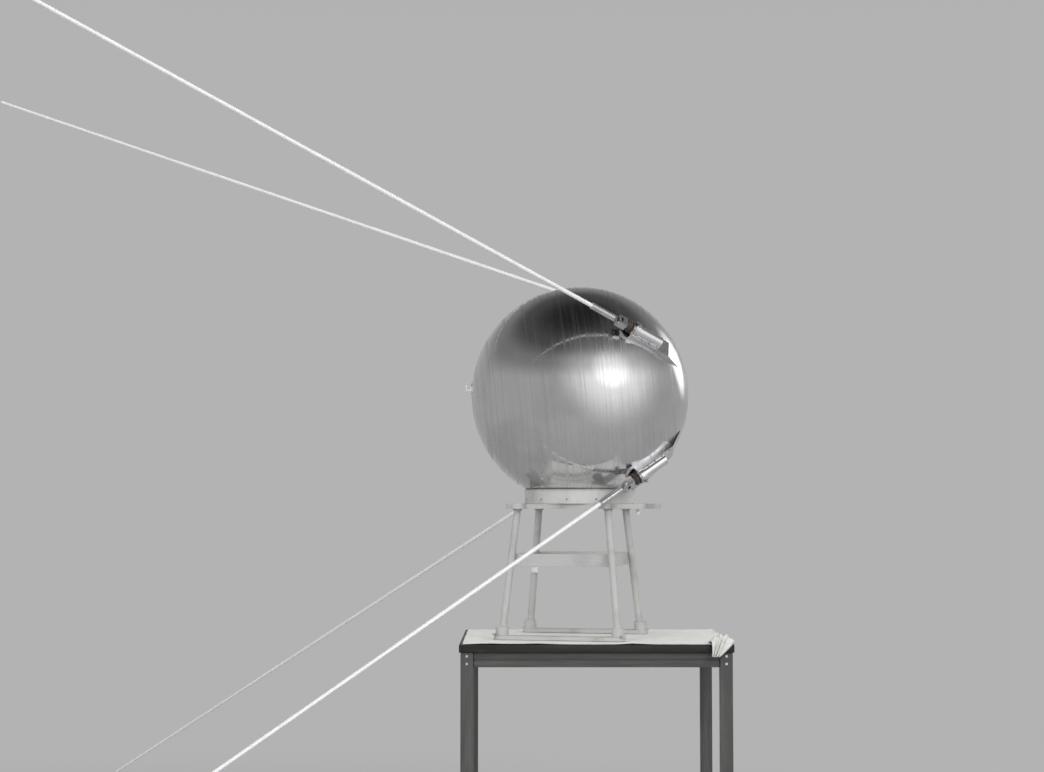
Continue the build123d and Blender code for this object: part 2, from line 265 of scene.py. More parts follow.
class Shader(Graph):
    """A material under construction, around one Principled surface."""

    def __init__(self, name: str, place: Optional[Matrix]) -> None:
        """Starts a material, with coordinates in metres that stay with the piece.

        Args:
            name: The material's name.
            place: Frame that the coordinates are read in, or None for the row frame.
        """
        self.material = bpy.data.materials.new(name)
        self.material.use_nodes = True
        super().__init__(self.material.node_tree)
        self.surface = self.tree.nodes["Principled BSDF"]
        self.local = self.node("ShaderNodeTexCoord", output="Object")
        if place is not None:
            sockets = {"Vector": self.local, "Location": place.to_translation(), "Rotation": place.to_euler()}
            self.local = self.node("ShaderNodeMapping", {"vector_type": "TEXTURE"}, sockets)

    def fixed(self, **values: object) -> None:
        """Sets constants on the surface's own sockets.

        Args:
            values: Each socket's value, by its name in small letters with underscores for spaces.
        """
        for key, value in values.items():
            name = key.replace("_", " ")
            target = next(s for s in self.surface.inputs if s.name.lower() == name)
            self._connect(target, value)

    def feed(self, name: str, wire: Wire) -> None:
        """Links a varying value to one of the surface's sockets."""
        self._connect(self.surface.inputs[name], wire)

    def cloud(self, pattern: Cloud) -> Wire:
        """Adds soft noise.

        Args:
            pattern: Its size, detail and roughness.

        Returns:
            The noise, from 0 to 1.
        """
        lumps = pattern.lumps if isinstance(pattern.lumps, tuple) else (pattern.lumps,) * 3
        where = self.vector("MULTIPLY", self.local, lumps)
        sockets = {"Vector": where, "Scale": 1.0, "Detail": pattern.detail, "Roughness": pattern.rough}
        return self.node("ShaderNodeTexNoise", {}, sockets, "Fac")

    def specks(self, lumps: float, share: float) -> Wire:
        """Adds small round spots.

        Args:
            lumps: How many cells there are to the metre, each with one spot.
            share: A spot's radius as a share of its cell.

        Returns:
            1 inside the spots and 0 outside.
        """
        sockets = {"Vector": self.local, "Scale": lumps}
        cells = self.node("ShaderNodeTexVoronoi", {"feature": "F1"}, sockets, "Distance")
        return cells.rise(share, share / 2)

    def edges(self, radius: float) -> Wire:
        """Finds sharp corners.

        Args:
            radius: How far from a corner its effect reaches.

        Returns:
            0 on flat surface, rising to about 1 at a sharp corner.
        """
        rounded = self.node("ShaderNodeBevel", {"samples": 4}, {"Radius": radius}, "Normal")
        plain = self.node("ShaderNodeNewGeometry", output="Normal")
        return (1.0 - self.vector("DOT_PRODUCT", rounded, plain, "Value")).rise(*EDGE_RISE)

    def mix(self, share: Value, first: object, second: object) -> Wire:
        """Blends two colours."""
        sockets = {"Factor_Float": share, "A_Color": first, "B_Color": second}
        return self.node("ShaderNodeMix", {"data_type": "RGBA"}, sockets, "Result_Color")

    def bump(self, *layers: Tuple[Wire, float]) -> None:
        """Feeds the surface's normal from height patterns.

        Args:
            layers: Each pattern and its depth in metres.
        """
        height = layers[0][0] * layers[0][1]
        for pattern, depth in layers[1:]:
            height = height + pattern * depth
        sockets = {"Height": height, "Distance": 1.0, "Strength": 1.0}
        self.feed("Normal", self.node("ShaderNodeBump", {}, sockets, "Normal"))


class Finish:
    """Base of the finishes, each of which feeds a new material's surface."""

    def material(self, name: str, place: Optional[Matrix] = None) -> Material:
        """Makes the material.

        Args:
            name: The material's name.
            place: Frame that its patterns lie in, or None for the row frame.

        Returns:
            The finished material.
        """
        shader = Shader(name, place)
        self.paint(shader)
        return shader.material

    def paint(self, shader: Shader) -> None:
        """Feeds the material's surface."""
        raise NotImplementedError


@dataclass(frozen=True)
class PolishedBall(Finish):
    """Aluminium spun about the Z axis of its frame and polished by hand."""

    colour: Triple = (0.68, 0.68, 0.69)
    haze_colour: Triple = (0.52, 0.52, 0.53)
    rings: Cloud = Cloud((3.0, 3.0, 1.0 / (5.5 * MM)), 2.0, 0.6)
    scratches: Cloud = Cloud((14.0, 14.0, 1.0 / (1.3 * MM)), 2.0, 0.6)
    smears: Cloud = Cloud(7.0, 5.0, 0.6)
    ripples: Cloud = Cloud(9.0, 1.5, 0.4)
    dots: Pair = (70.0, 0.09)
    dot_fields: Cloud = Cloud(5.0)
    dot_rise: Rise = (0.48, 0.6)
    dot_haze: float = 0.5
    dot_rough: float = 0.1
    smear_haze: Rise = (0.42, 0.72, 0.45)
    ring_haze: Rise = (0.35, 0.7, 0.3)
    scratch_haze: Rise = (0.5, 0.8, 0.2)
    rough: float = 0.05
    smear_rough: Rise = (0.35, 0.75, 0.1)
    ring_rough: Rise = (0.40, 0.72, 0.26)
    ring_depth: float = 0.016 * MM
    scratch_depth: float = 0.006 * MM
    ripple_depth: float = 0.12 * MM

    def paint(self, shader: Shader) -> None:
        """Feeds rings and scratches round the axis, smears, and small dull dots.

        Args:
            shader: The material under construction.
        """
        rings = shader.cloud(self.rings)
        scratches = shader.cloud(self.scratches)
        smears = shader.cloud(self.smears)
        ripples = shader.cloud(self.ripples)
        dots = shader.specks(*self.dots) * shader.cloud(self.dot_fields).rise(*self.dot_rise)
        haze = smears.rise(*self.smear_haze) + rings.rise(*self.ring_haze)
        haze = haze + scratches.rise(*self.scratch_haze) + dots * self.dot_haze
        shader.feed("Base Color", shader.mix(haze, self.colour, self.haze_colour))
        rough = self.rough + smears.rise(*self.smear_rough) + rings.rise(*self.ring_rough)
        shader.feed("Roughness", rough + dots * self.dot_rough)
        shader.fixed(metallic=1.0)
        shader.bump((rings, self.ring_depth), (scratches, self.scratch_depth), (ripples, self.ripple_depth))


@dataclass(frozen=True)
class BrightMetal(Finish):
    """Drawn, turned or milled metal with tool marks along the X axis of its frame."""

    colour: Triple = (0.72, 0.72, 0.73)
    dull_colour: Triple = (0.45, 0.45, 0.46)
    rough: float = 0.24
    marks: Cloud = Cloud((12.0, 900.0, 900.0), 3.0, 0.65)
    tarnish: Cloud = Cloud(38.0, 5.0, 0.6)
    tarnish_dull: Rise = (0.45, 0.75, 0.7)
    mark_dull: Rise = (0.4, 0.8, 0.3)
    dull_rough: float = 0.16
    worn_radius: float = 1.2 * MM
    worn_share: float = 0.5
    worn_rough: float = 0.06
    mark_depth: float = 0.02 * MM
    dent_depth: float = 0.03 * MM
    metallic: float = 1.0

    def paint(self, shader: Shader) -> None:
        """Feeds tool marks and tarnish, rubbed bright along the edges.

        Args:
            shader: The material under construction.
        """
        marks = shader.cloud(self.marks)
        tarnish = shader.cloud(self.tarnish)
        worn = shader.edges(self.worn_radius)
        dull = tarnish.rise(*self.tarnish_dull) + marks.rise(*self.mark_dull)
        tone = shader.mix(dull, self.colour, self.dull_colour)
        shader.feed("Base Color", shader.mix(worn * self.worn_share, tone, self.colour))
        shader.feed("Roughness", self.rough + dull * self.dull_rough - worn * self.worn_rough)
        shader.fixed(metallic=self.metallic)
        shader.bump((marks, self.mark_depth), (tarnish, self.dent_depth))


EVEN_MARKS = Cloud(300.0, 3.0, 0.65)
MACHINED_STEEL = BrightMetal(
    colour=(0.66, 0.66, 0.67), rough=0.18, marks=EVEN_MARKS, mark_depth=0.01 * MM, dent_depth=0.012 * MM
)
BRIGHT_STEEL = BrightMetal(
    colour=(0.86, 0.86, 0.87),
    dull_colour=(0.70, 0.70, 0.71),
    rough=0.28,
    marks=EVEN_MARKS,
    mark_depth=0.01 * MM,
    dent_depth=0.012 * MM,
    metallic=0.4,
)
DRAWN_METAL = BrightMetal(
    colour=(0.80, 0.80, 0.81),
    dull_colour=(0.58, 0.58, 0.59),
    rough=0.13,
    mark_depth=0.006 * MM,
    dent_depth=0.012 * MM,
)
WHIP_ROD = BrightMetal(
    colour=(0.88, 0.88, 0.89),
    dull_colour=(0.78, 0.78, 0.79),
    rough=0.38,
    marks=Cloud((5.0, 260.0, 260.0), 3.0, 0.65),
    mark_depth=0.002 * MM,
    dent_depth=0.004 * MM,
    metallic=0.2,
)
CARRIER_METAL = BrightMetal(colour=(0.55, 0.55, 0.56), rough=0.3, marks=Cloud((40.0, 40.0, 600.0), 3.0, 0.65))


@dataclass(frozen=True)
class MouldedInsulation(Finish):
    """Dark phenolic plastic with a mottled filler and a dull shine."""

    colour: Triple = (0.058, 0.046, 0.038)
    fleck_colour: Triple = (0.13, 0.10, 0.075)
    flecks: Cloud = Cloud(420.0, 4.0, 0.7)
    fleck_rise: Rise = (0.52, 0.74)
    dust: Cloud = Cloud(45.0, 4.0, 0.6)
    rough: float = 0.28
    dust_rough: Rise = (0.4, 0.75, 0.3)
    fleck_depth: float = 0.03 * MM
    dust_depth: float = 0.05 * MM

    def paint(self, shader: Shader) -> None:
        """Feeds flecks of filler and dust.

        Args:
            shader: The material under construction.
        """
        flecks = shader.cloud(self.flecks)
        dust = shader.cloud(self.dust)
        shader.feed("Base Color", shader.mix(flecks.rise(*self.fleck_rise), self.colour, self.fleck_colour))
        shader.feed("Roughness", self.rough + dust.rise(*self.dust_rough))
        shader.bump((flecks, self.fleck_depth), (dust, self.dust_depth))


@dataclass(frozen=True)
class WorkshopPaint(Finish):
    """Brushed-on paint over metal, chipped to bare metal on its edges and scuffed."""

    colour: Triple = (0.47, 0.47, 0.46)
    stain_colour: Triple = (0.275, 0.27, 0.264)
    bare_colour: Triple = (0.39, 0.385, 0.38)
    edge_radius: float = 1.6 * MM
    broad: Cloud = Cloud(14.0, 5.0, 0.6)
    fine: Cloud = Cloud(160.0, 4.0, 0.65)
    brushed: Cloud = Cloud((260.0, 260.0, 18.0), 3.0, 0.6)
    chip_shares: Triple = (1.1, 0.7, 0.5)
    chip_rise: Rise = (1.22, 1.34)
    scuffs: Pair = (120.0, 0.16)
    scuff_rise: Rise = (0.5, 0.62, 0.8)
    broad_grime: Rise = (0.46, 0.78, 0.6)
    brushed_grime: Rise = (0.5, 0.9, 0.25)
    bare_metallic: float = 0.85
    rough: float = 0.42
    fine_rough: Rise = (0.4, 0.7, 0.14)
    bare_rough: float = 0.08
    brush_depth: float = 0.06 * MM
    chip_depth: float = 0.12 * MM
    fine_depth: float = 0.05 * MM

    def paint(self, shader: Shader) -> None:
        """Feeds brush marks, grime, and chips and scuffs that bare the metal.

        Args:
            shader: The material under construction.
        """
        broad = shader.cloud(self.broad)
        fine = shader.cloud(self.fine)
        brushed = shader.cloud(self.brushed)
        edge, grit, patch = self.chip_shares
        chips = (shader.edges(self.edge_radius) * edge + fine * grit + broad * patch).rise(*self.chip_rise)
        bare = chips.most(shader.specks(*self.scuffs) * broad.rise(*self.scuff_rise))
        grime = broad.rise(*self.broad_grime) + brushed.rise(*self.brushed_grime)
        tone = shader.mix(grime, self.colour, self.stain_colour)
        shader.feed("Base Color", shader.mix(bare, tone, self.bare_colour))
        shader.feed("Metallic", bare * self.bare_metallic)
        shader.feed("Roughness", self.rough + fine.rise(*self.fine_rough) - bare * self.bare_rough)
        shader.bump((brushed, self.brush_depth), (bare, -self.chip_depth), (fine, self.fine_depth))


STAND_PAINT = WorkshopPaint()
COLLAR_PAINT = WorkshopPaint(colour=(0.56, 0.56, 0.548), edge_radius=1.0 * MM)
CASE_PAINT = WorkshopPaint(colour=(0.16, 0.17, 0.17), bare_colour=(0.3, 0.3, 0.3))


@dataclass(frozen=True)
class StainedWood(Finish):
    """Dark stained, varnished wood, rubbed pale on its edges; the default colour adds painted shade to the stain.
    """

    grain: Grain
    # Default colour, the bench top's: near-black stain, darkened further as painted shade for the shadowed gap
    # along its front edge.
    colour: Triple = (0.0185, 0.0182, 0.0178)
    vein_colour: Triple = (0.045, 0.043, 0.041)
    rubbed_colour: Triple = (0.16, 0.147, 0.134)
    lines: Cloud = Cloud(240.0, 5.0, 0.7)
    figure: Cloud = Cloud(34.0, 3.0, 0.5)
    wear: Cloud = Cloud(60.0, 5.0, 0.65)
    broad: Cloud = Cloud(5.0, 4.0, 0.6)
    edge_radius: float = 2.4 * MM
    rub_share: float = 0.9
    rub_rise: Rise = (1.02, 1.3)
    knocks: Pair = (34.0, 0.07)
    knock_rise: Rise = (0.5, 0.6, 0.7)
    line_veins: Rise = (0.42, 0.8, 0.6)
    figure_veins: Rise = (0.45, 0.7, 0.4)
    rough: float = 0.36
    broad_rough: Rise = (0.4, 0.7, 0.2)
    rubbed_rough: float = 0.2
    specular: float = 0.22
    line_depth: float = 0.10 * MM
    rub_depth: float = 0.25 * MM
    figure_depth: float = 0.15 * MM

    def along_grain(self, pattern: Cloud) -> Cloud:
        """Stretches noise along the grain."""
        return replace(pattern, lumps=tuple(v * pattern.lumps for v in self.grain.value))

    def paint(self, shader: Shader) -> None:
        """Feeds the grain's lines and figure, rubbed edges and knocks.

        Args:
            shader: The material under construction.
        """
        lines = shader.cloud(self.along_grain(self.lines))
        figure = shader.cloud(self.along_grain(self.figure))
        wear = shader.cloud(self.wear)
        broad = shader.cloud(self.broad)
        edges = shader.edges(self.edge_radius)
        rubbed = (edges * self.rub_share + wear * self.rub_share).rise(*self.rub_rise)
        veins = lines.rise(*self.line_veins) + figure.rise(*self.figure_veins)
        tone = shader.mix(veins, self.colour, self.vein_colour)
        pale = rubbed.most(shader.specks(*self.knocks) * broad.rise(*self.knock_rise))
        shader.feed("Base Color", shader.mix(pale, tone, self.rubbed_colour))
        shader.feed("Roughness", self.rough + broad.rise(*self.broad_rough) + pale * self.rubbed_rough)
        shader.fixed(specular_ior_level=self.specular)
        shader.bump((lines, self.line_depth), (pale, -self.rub_depth), (figure, self.figure_depth))


def frame_wood(grain: Grain) -> StainedWood:
    """The bench frame's wood, paler than its top."""
    return StainedWood(grain, colour=(0.066, 0.066, 0.065), vein_colour=(0.122, 0.119, 0.116))


@dataclass(frozen=True)
class PlainCotton(Finish):
    """Unbleached plain-weave cotton with faint soiling."""

    colour: Triple = (0.70, 0.693, 0.667)
    soiled_colour: Triple = (0.49, 0.475, 0.45)
    thread: float = 1.1 * MM
    waves_to_scale: float = 0.314
    slubs: Cloud = Cloud((30.0, 500.0, 200.0), 3.0, 0.6)
    soil: Cloud = Cloud(7.0, 5.0, 0.65)
    creases: Cloud = Cloud(26.0, 3.0, 0.5)
    soil_share: Rise = (0.5, 0.85, 0.6)
    slub_share: Rise = (0.5, 0.9, 0.2)
    weave_share: float = 0.12
    weave_bend: float = 0.6
    rough: float = 0.82
    slub_rough: float = 0.1
    sheen: Pair = (0.25, 0.5)
    specular: float = 0.25
    weave_depth: float = 0.22 * MM
    slub_depth: float = 0.12 * MM
    crease_depth: float = 0.9 * MM

    def paint(self, shader: Shader) -> None:
        """Feeds the weave, thick threads, creases and soiling.

        Args:
            shader: The material under construction.
        """
        waves = []
        for direction in ("X", "Y"):
            settings = {"wave_type": "BANDS", "bands_direction": direction, "wave_profile": "SIN"}
            scale = self.waves_to_scale / self.thread
            sockets = {"Vector": shader.local, "Scale": scale, "Distortion": self.weave_bend, "Detail": 1.0}
            waves.append(shader.node("ShaderNodeTexWave", settings, sockets, "Fac"))
        weave = waves[0] * waves[1]
        slubs = shader.cloud(self.slubs)
        soil = shader.cloud(self.soil)
        creases = shader.cloud(self.creases)
        share = soil.rise(*self.soil_share) + slubs.rise(*self.slub_share) + weave * self.weave_share
        shader.feed("Base Color", shader.mix(share, self.colour, self.soiled_colour))
        shader.feed("Roughness", self.rough + slubs * self.slub_rough)
        weight, softness = self.sheen
        shader.fixed(sheen_weight=weight, sheen_roughness=softness, specular_ior_level=self.specular)
        shader.bump((weave, self.weave_depth), (slubs, self.slub_depth), (creases, self.crease_depth))


@dataclass(frozen=True)
class Glows:
    """Soft glows that only polished metal shows: a wide one with a bright core, and a small one behind."""

    toward: Triple = (0.53, -0.77, 0.44)
    halo_edge: float = 0.30
    core_edge: float = 0.915
    halo_gain: float = 1.6
    core_gain: float = 2.1
    rim_toward: Triple = (0.655, 0.705, 0.272)
    rim_edge: float = 0.960
    rim_gain: float = 3.6

    @property
    def strongest(self) -> float:
        """The most that the glows add anywhere."""
        return max(self.halo_gain + self.core_gain, self.rim_gain)

    def light(self, graph: Graph, outward: Wire) -> Wire:
        """Adds the glows to a node tree.

        Args:
            graph: The node tree.
            outward: Direction from the ball.

        Returns:
            Their strength there, 0 for all but glossy rays.
        """
        near, side = [
            graph.vector("DOT_PRODUCT", outward, tuple(Vector(middle).normalized()), "Value")
            for middle in (self.toward, self.rim_toward)
        ]
        halo = near.rise(self.halo_edge, 1.0)
        core = near.rise(self.core_edge, 1.0, self.core_gain)
        rim = side.rise(self.rim_edge, 1.0, self.rim_gain)
        return (halo * halo * self.halo_gain + core + rim) * graph.path("Glossy")


@dataclass(frozen=True)
class StudioFloor(Finish):
    """Pale seamless floor that fades into the background, and carries the glows on below the horizon."""

    ball_centre: Vector
    glows: Glows
    colour: Triple = (0.42, 0.42, 0.42)
    mottle: Cloud = Cloud(0.8, 4.0, 0.5)
    mottle_level: float = 0.95
    rough: float = 0.75
    specular: float = 0.2
    far_level: float = 0.45
    fade: Rise = (1.2, 5.0)

    def paint(self, shader: Shader) -> None:
        """Feeds the floor's colour, and blends its surface with the background's and the glows' light.

        Args:
            shader: The material under construction.
        """
        darker = tuple(v * self.mottle_level for v in self.colour)
        shader.feed("Base Color", shader.mix(shader.cloud(self.mottle), self.colour, darker))
        shader.fixed(roughness=self.rough, specular_ior_level=self.specular)
        away = shader.vector("LENGTH", shader.local, Vector(), "Value")
        from_ball = shader.vector("SUBTRACT", shader.local, self.ball_centre)
        outward = shader.vector("NORMALIZE", from_ball, Vector())
        most = self.glows.strongest
        far, bright = [
            shader.node("ShaderNodeEmission", sockets={"Color": WHITE, "Strength": level})
            for level in (self.far_level, self.far_level * (1.0 + most))
        ]
        near = Wire(shader, shader.surface.outputs[0])
        share = away.rise(*self.fade) * shader.seen()
        plain = shader.node("ShaderNodeMixShader", sockets={0: share, 1: near, 2: far})
        lights = self.glows.light(shader, outward) * (1.0 / most)
        blend = shader.node("ShaderNodeMixShader", sockets={0: lights, 1: plain, 2: bright})
        shader.tree.links.new(blend.socket, shader.tree.nodes["Material Output"].inputs["Surface"])


def polar(reach: float, angle: float, height: float = 0.0) -> Vector:
    """Point at a reach and an angle round the Z axis."""
    return Vector((reach * math.cos(angle), reach * math.sin(angle), height))


def frame_matrix(origin: Vector, x_axis: Vector, y_axis: Vector) -> Matrix:
    """Makes a frame at a point from two of its axes; Z is square to both.

    Args:
        origin: The point.
        x_axis: Direction of X.
        y_axis: Direction of Y, square to X.

    Returns:
        The frame.
    """
    x_axis = x_axis.normalized()
    y_axis = y_axis.normalized()
    turn = Matrix((x_axis, y_axis, x_axis.cross(y_axis))).transposed()
    return Matrix.Translation(origin) @ turn.to_4x4()


def facing(origin: Vector, outward: Vector = UP) -> Matrix:
    """Frame at a point with Z along a direction."""
    turn = outward.to_track_quat("Z", "Y").to_matrix().to_4x4()
    return Matrix.Translation(origin) @ turn


def ring_of(place: Matrix, count: int, reach: float, lift: float = 0.0) -> List[Matrix]:
    """Frames that stand evenly on a circle round the Z axis of a frame."""
    turns = [Matrix.Rotation(2.0 * math.pi * number / count, 4, "Z") for number in range(count)]
    return [place @ turn @ Matrix.Translation((reach, 0, lift)) for turn in turns]


def cad_points(node: str) -> List[Vector]:
    """Corner points of a CAD node's mesh."""
    return [vert.co.copy() for vert in frame["nodes"][node].data.vertices]


def dress(material: Material, *nodes: str) -> None:
    """Gives carried CAD nodes their material.

    Args:
        material: The material.
        nodes: The nodes' names.
    """
    for node in nodes:
        for place in frame["nodes"][node].material_slots:
            place.material = material
        log.info("%s: dressed in %s", node, material.name)


class Piece:
    """Faces of one visible piece, gathered in a bmesh and then made into an object."""

    def __init__(self, name: str) -> None:
        """Starts an empty piece."""
        self.name = name
        self.mesh = bmesh.new()

    def _points(self, place: Matrix, spots: Sequence[Vector]) -> Row:
        """Adds points that are given in a frame."""
        return [self.mesh.verts.new(place @ spot) for spot in spots]

    def _join(self, low: Row, high: Row, count: int) -> None:
        """Adds faces between two rows of points.

        Args:
            low: The first row; a single point is a pole.
            high: The second row.
            count: Number of faces; a closed row has as many as it has points.
        """
        for i in range(count):
            k = i + 1
            corners = (low[i % len(low)], low[k % len(low)], high[k % len(high)], high[i % len(high)])
            unique = list(dict.fromkeys(corners))
            if len(unique) > 2:
                self.mesh.faces.new(unique)

    def lathe(
        self, place: Matrix, profile: Outline, sides: int = 40, scale: Pair = (1.0, 1.0), loop: bool = False
    ) -> "Piece":
        """Turns an outline about the Z axis of a frame.

        Args:
            place: The frame.
            profile: Radius and height of each point, anticlockwise seen with Z up and the axis left.
            sides: Number of flats round the axis.
            scale: Factors on the radii and on the heights.
            loop: Whether the outline closes on itself away from the axis.

        Returns:
            The piece itself.
        """
        rings = []
        for radius, height in profile:
            reach = radius * scale[0]
            count = sides if reach > ON_AXIS else 1
            spots = [polar(reach, 2.0 * math.pi * i / sides, height * scale[1]) for i in range(count)]
            rings.append(self._points(place, spots))
        if loop:
            rings.append(rings[0])
        for low, high in zip(rings, rings[1:]):
            self._join(low, high, sides)
        return self

    def slab(self, place: Matrix, size: Sequence[float], rounding: float, steps: int) -> "Piece":
        """Adds a box with rounded edges.

        Args:
            place: Frame at its middle.
            size: Its three lengths.
            rounding: Radius of the edges.
            steps: Number of faces across a rounding.

        Returns:
            The piece itself.
        """
        shape = place @ Matrix.Diagonal((*size, 1.0))
        made = bmesh.ops.create_cube(self.mesh, size=1.0, matrix=shape)["verts"]
        rims = list({edge for vert in made for edge in vert.link_edges})
        round_edges = {"profile": 0.5, "affect": "EDGES", "clamp_overlap": True}
        bmesh.ops.bevel(self.mesh, geom=rims, offset=rounding, segments=steps, **round_edges)
        return self

    def block(self, low: Vector, high: Vector, rounding: float, steps: int) -> "Piece":
        """Adds a rounded box between its lowest and its highest corner."""
        return self.slab(Matrix.Translation((low + high) / 2), high - low, rounding, steps)

    def bead(self, place: Matrix, radius: float, thickness: float, ripples: int = 0) -> None:
        """Adds a ring of round section about the Z axis of a frame.

        Args:
            place: The frame.
            radius: Radius of the section's centre line.
            thickness: Radius of the section.
            ripples: Number of swellings round the ring, as in a weld.
        """
        turns = max(BEAD_TURNS, ripples * RIPPLE_TURNS)
        rows = []
        for i in range(turns):
            angle = 2.0 * math.pi * i / turns
            swell = thickness * (1.0 + RIPPLE_SWELL * math.sin(angle * ripples))
            section = [polar(swell, 2.0 * math.pi * j / BEAD_SIDES) for j in range(BEAD_SIDES)]
            rows.append(self._points(place, [polar(radius + spot.x, angle, spot.y) for spot in section]))
        for low, high in zip(rows, rows[1:] + rows[:1]):
            self._join(low, high, BEAD_SIDES)

    def hex_bolt(self, place: Matrix, radius: float, height: float) -> None:
        """Adds a chamfered six-sided head on a washer, standing on a frame's XY plane."""
        self.lathe(place, WASHER, sides=28, scale=(radius, height))
        self.lathe(place, HEX_HEAD, sides=6, scale=(radius, height))

    def slotted_screw(self, place: Matrix, radius: float, height: float) -> None:
        """Adds a round slotted head, standing on a frame's XY plane.

        Args:
            place: The frame; the slot runs along its X axis.
            radius: The head's radius.
            height: The head's height.
        """
        self.lathe(place, SCREW_FOOT, sides=24, scale=(radius, height))
        start = math.asin(SLOT_HALF_WIDTH)
        steps = 10
        for side in (0.0, math.pi):
            arc = [side + start + (math.pi - 2 * start) * i / steps for i in range(steps + 1)]
            low = self._points(place, [polar(radius, turn, height * SLOT_FLOOR) for turn in arc])
            crown = self._points(place, [polar(radius * SCREW_CROWN, turn, height) for turn in arc])
            self.mesh.faces.new(crown)
            self._join(low, crown, len(arc))

    def grid(self, columns: int, rows: int, spot: Callable[[float, float], Vector]) -> None:
        """Adds an open sheet.

        Args:
            columns: Number of faces across.
            rows: Number of faces along.
            spot: Rule that gives a point from its shares across and along, from 0 to 1.
        """
        across = [i / columns for i in range(columns + 1)]
        net = [self._points(Matrix(), [spot(u, j / rows) for u in across]) for j in range(rows + 1)]
        for low, high in zip(net, net[1:]):
            self._join(low, high, columns)

    def done(
        self,
        slot: Slot,
        material: Material,
        body: str = ROOT_BODY,
        replaces: Sequence[str] = (),
        sharp: float = 32.0,
    ) -> bpy.types.Object:
        """Makes the object, lets it ride on its body and reports it.

        Args:
            slot: The record's slot; not used.
            material: Its material.
            body: The body that it moves with.
            replaces: CAD nodes that it stands for.
            sharp: Angle in degrees past which an edge stays sharp.

        Returns:
            The new object.
        """
        bmesh.ops.recalc_face_normals(self.mesh, faces=self.mesh.faces)
        for face in self.mesh.faces:
            face.smooth = True
        for edge in self.mesh.edges:
            edge.smooth = len(edge.link_faces) != 2 or edge.calc_face_angle() < math.radians(sharp)
        data = bpy.data.meshes.new(self.name)
        self.mesh.to_mesh(data)
        self.mesh.free()
        data.materials.append(material)
        made = bpy.data.objects.new(self.name, data)
        bpy.context.scene.collection.objects.link(made)
        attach(made, body)
        if replaces:
            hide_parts(*replaces)
        log.info("%s: %d faces on %s", self.name, len(data.polygons), body)
        return made


@dataclass(frozen=True)
class Shared:
    """Materials that several sub-assemblies share."""

    steel: Material
    bright: Material
    insulation: Material


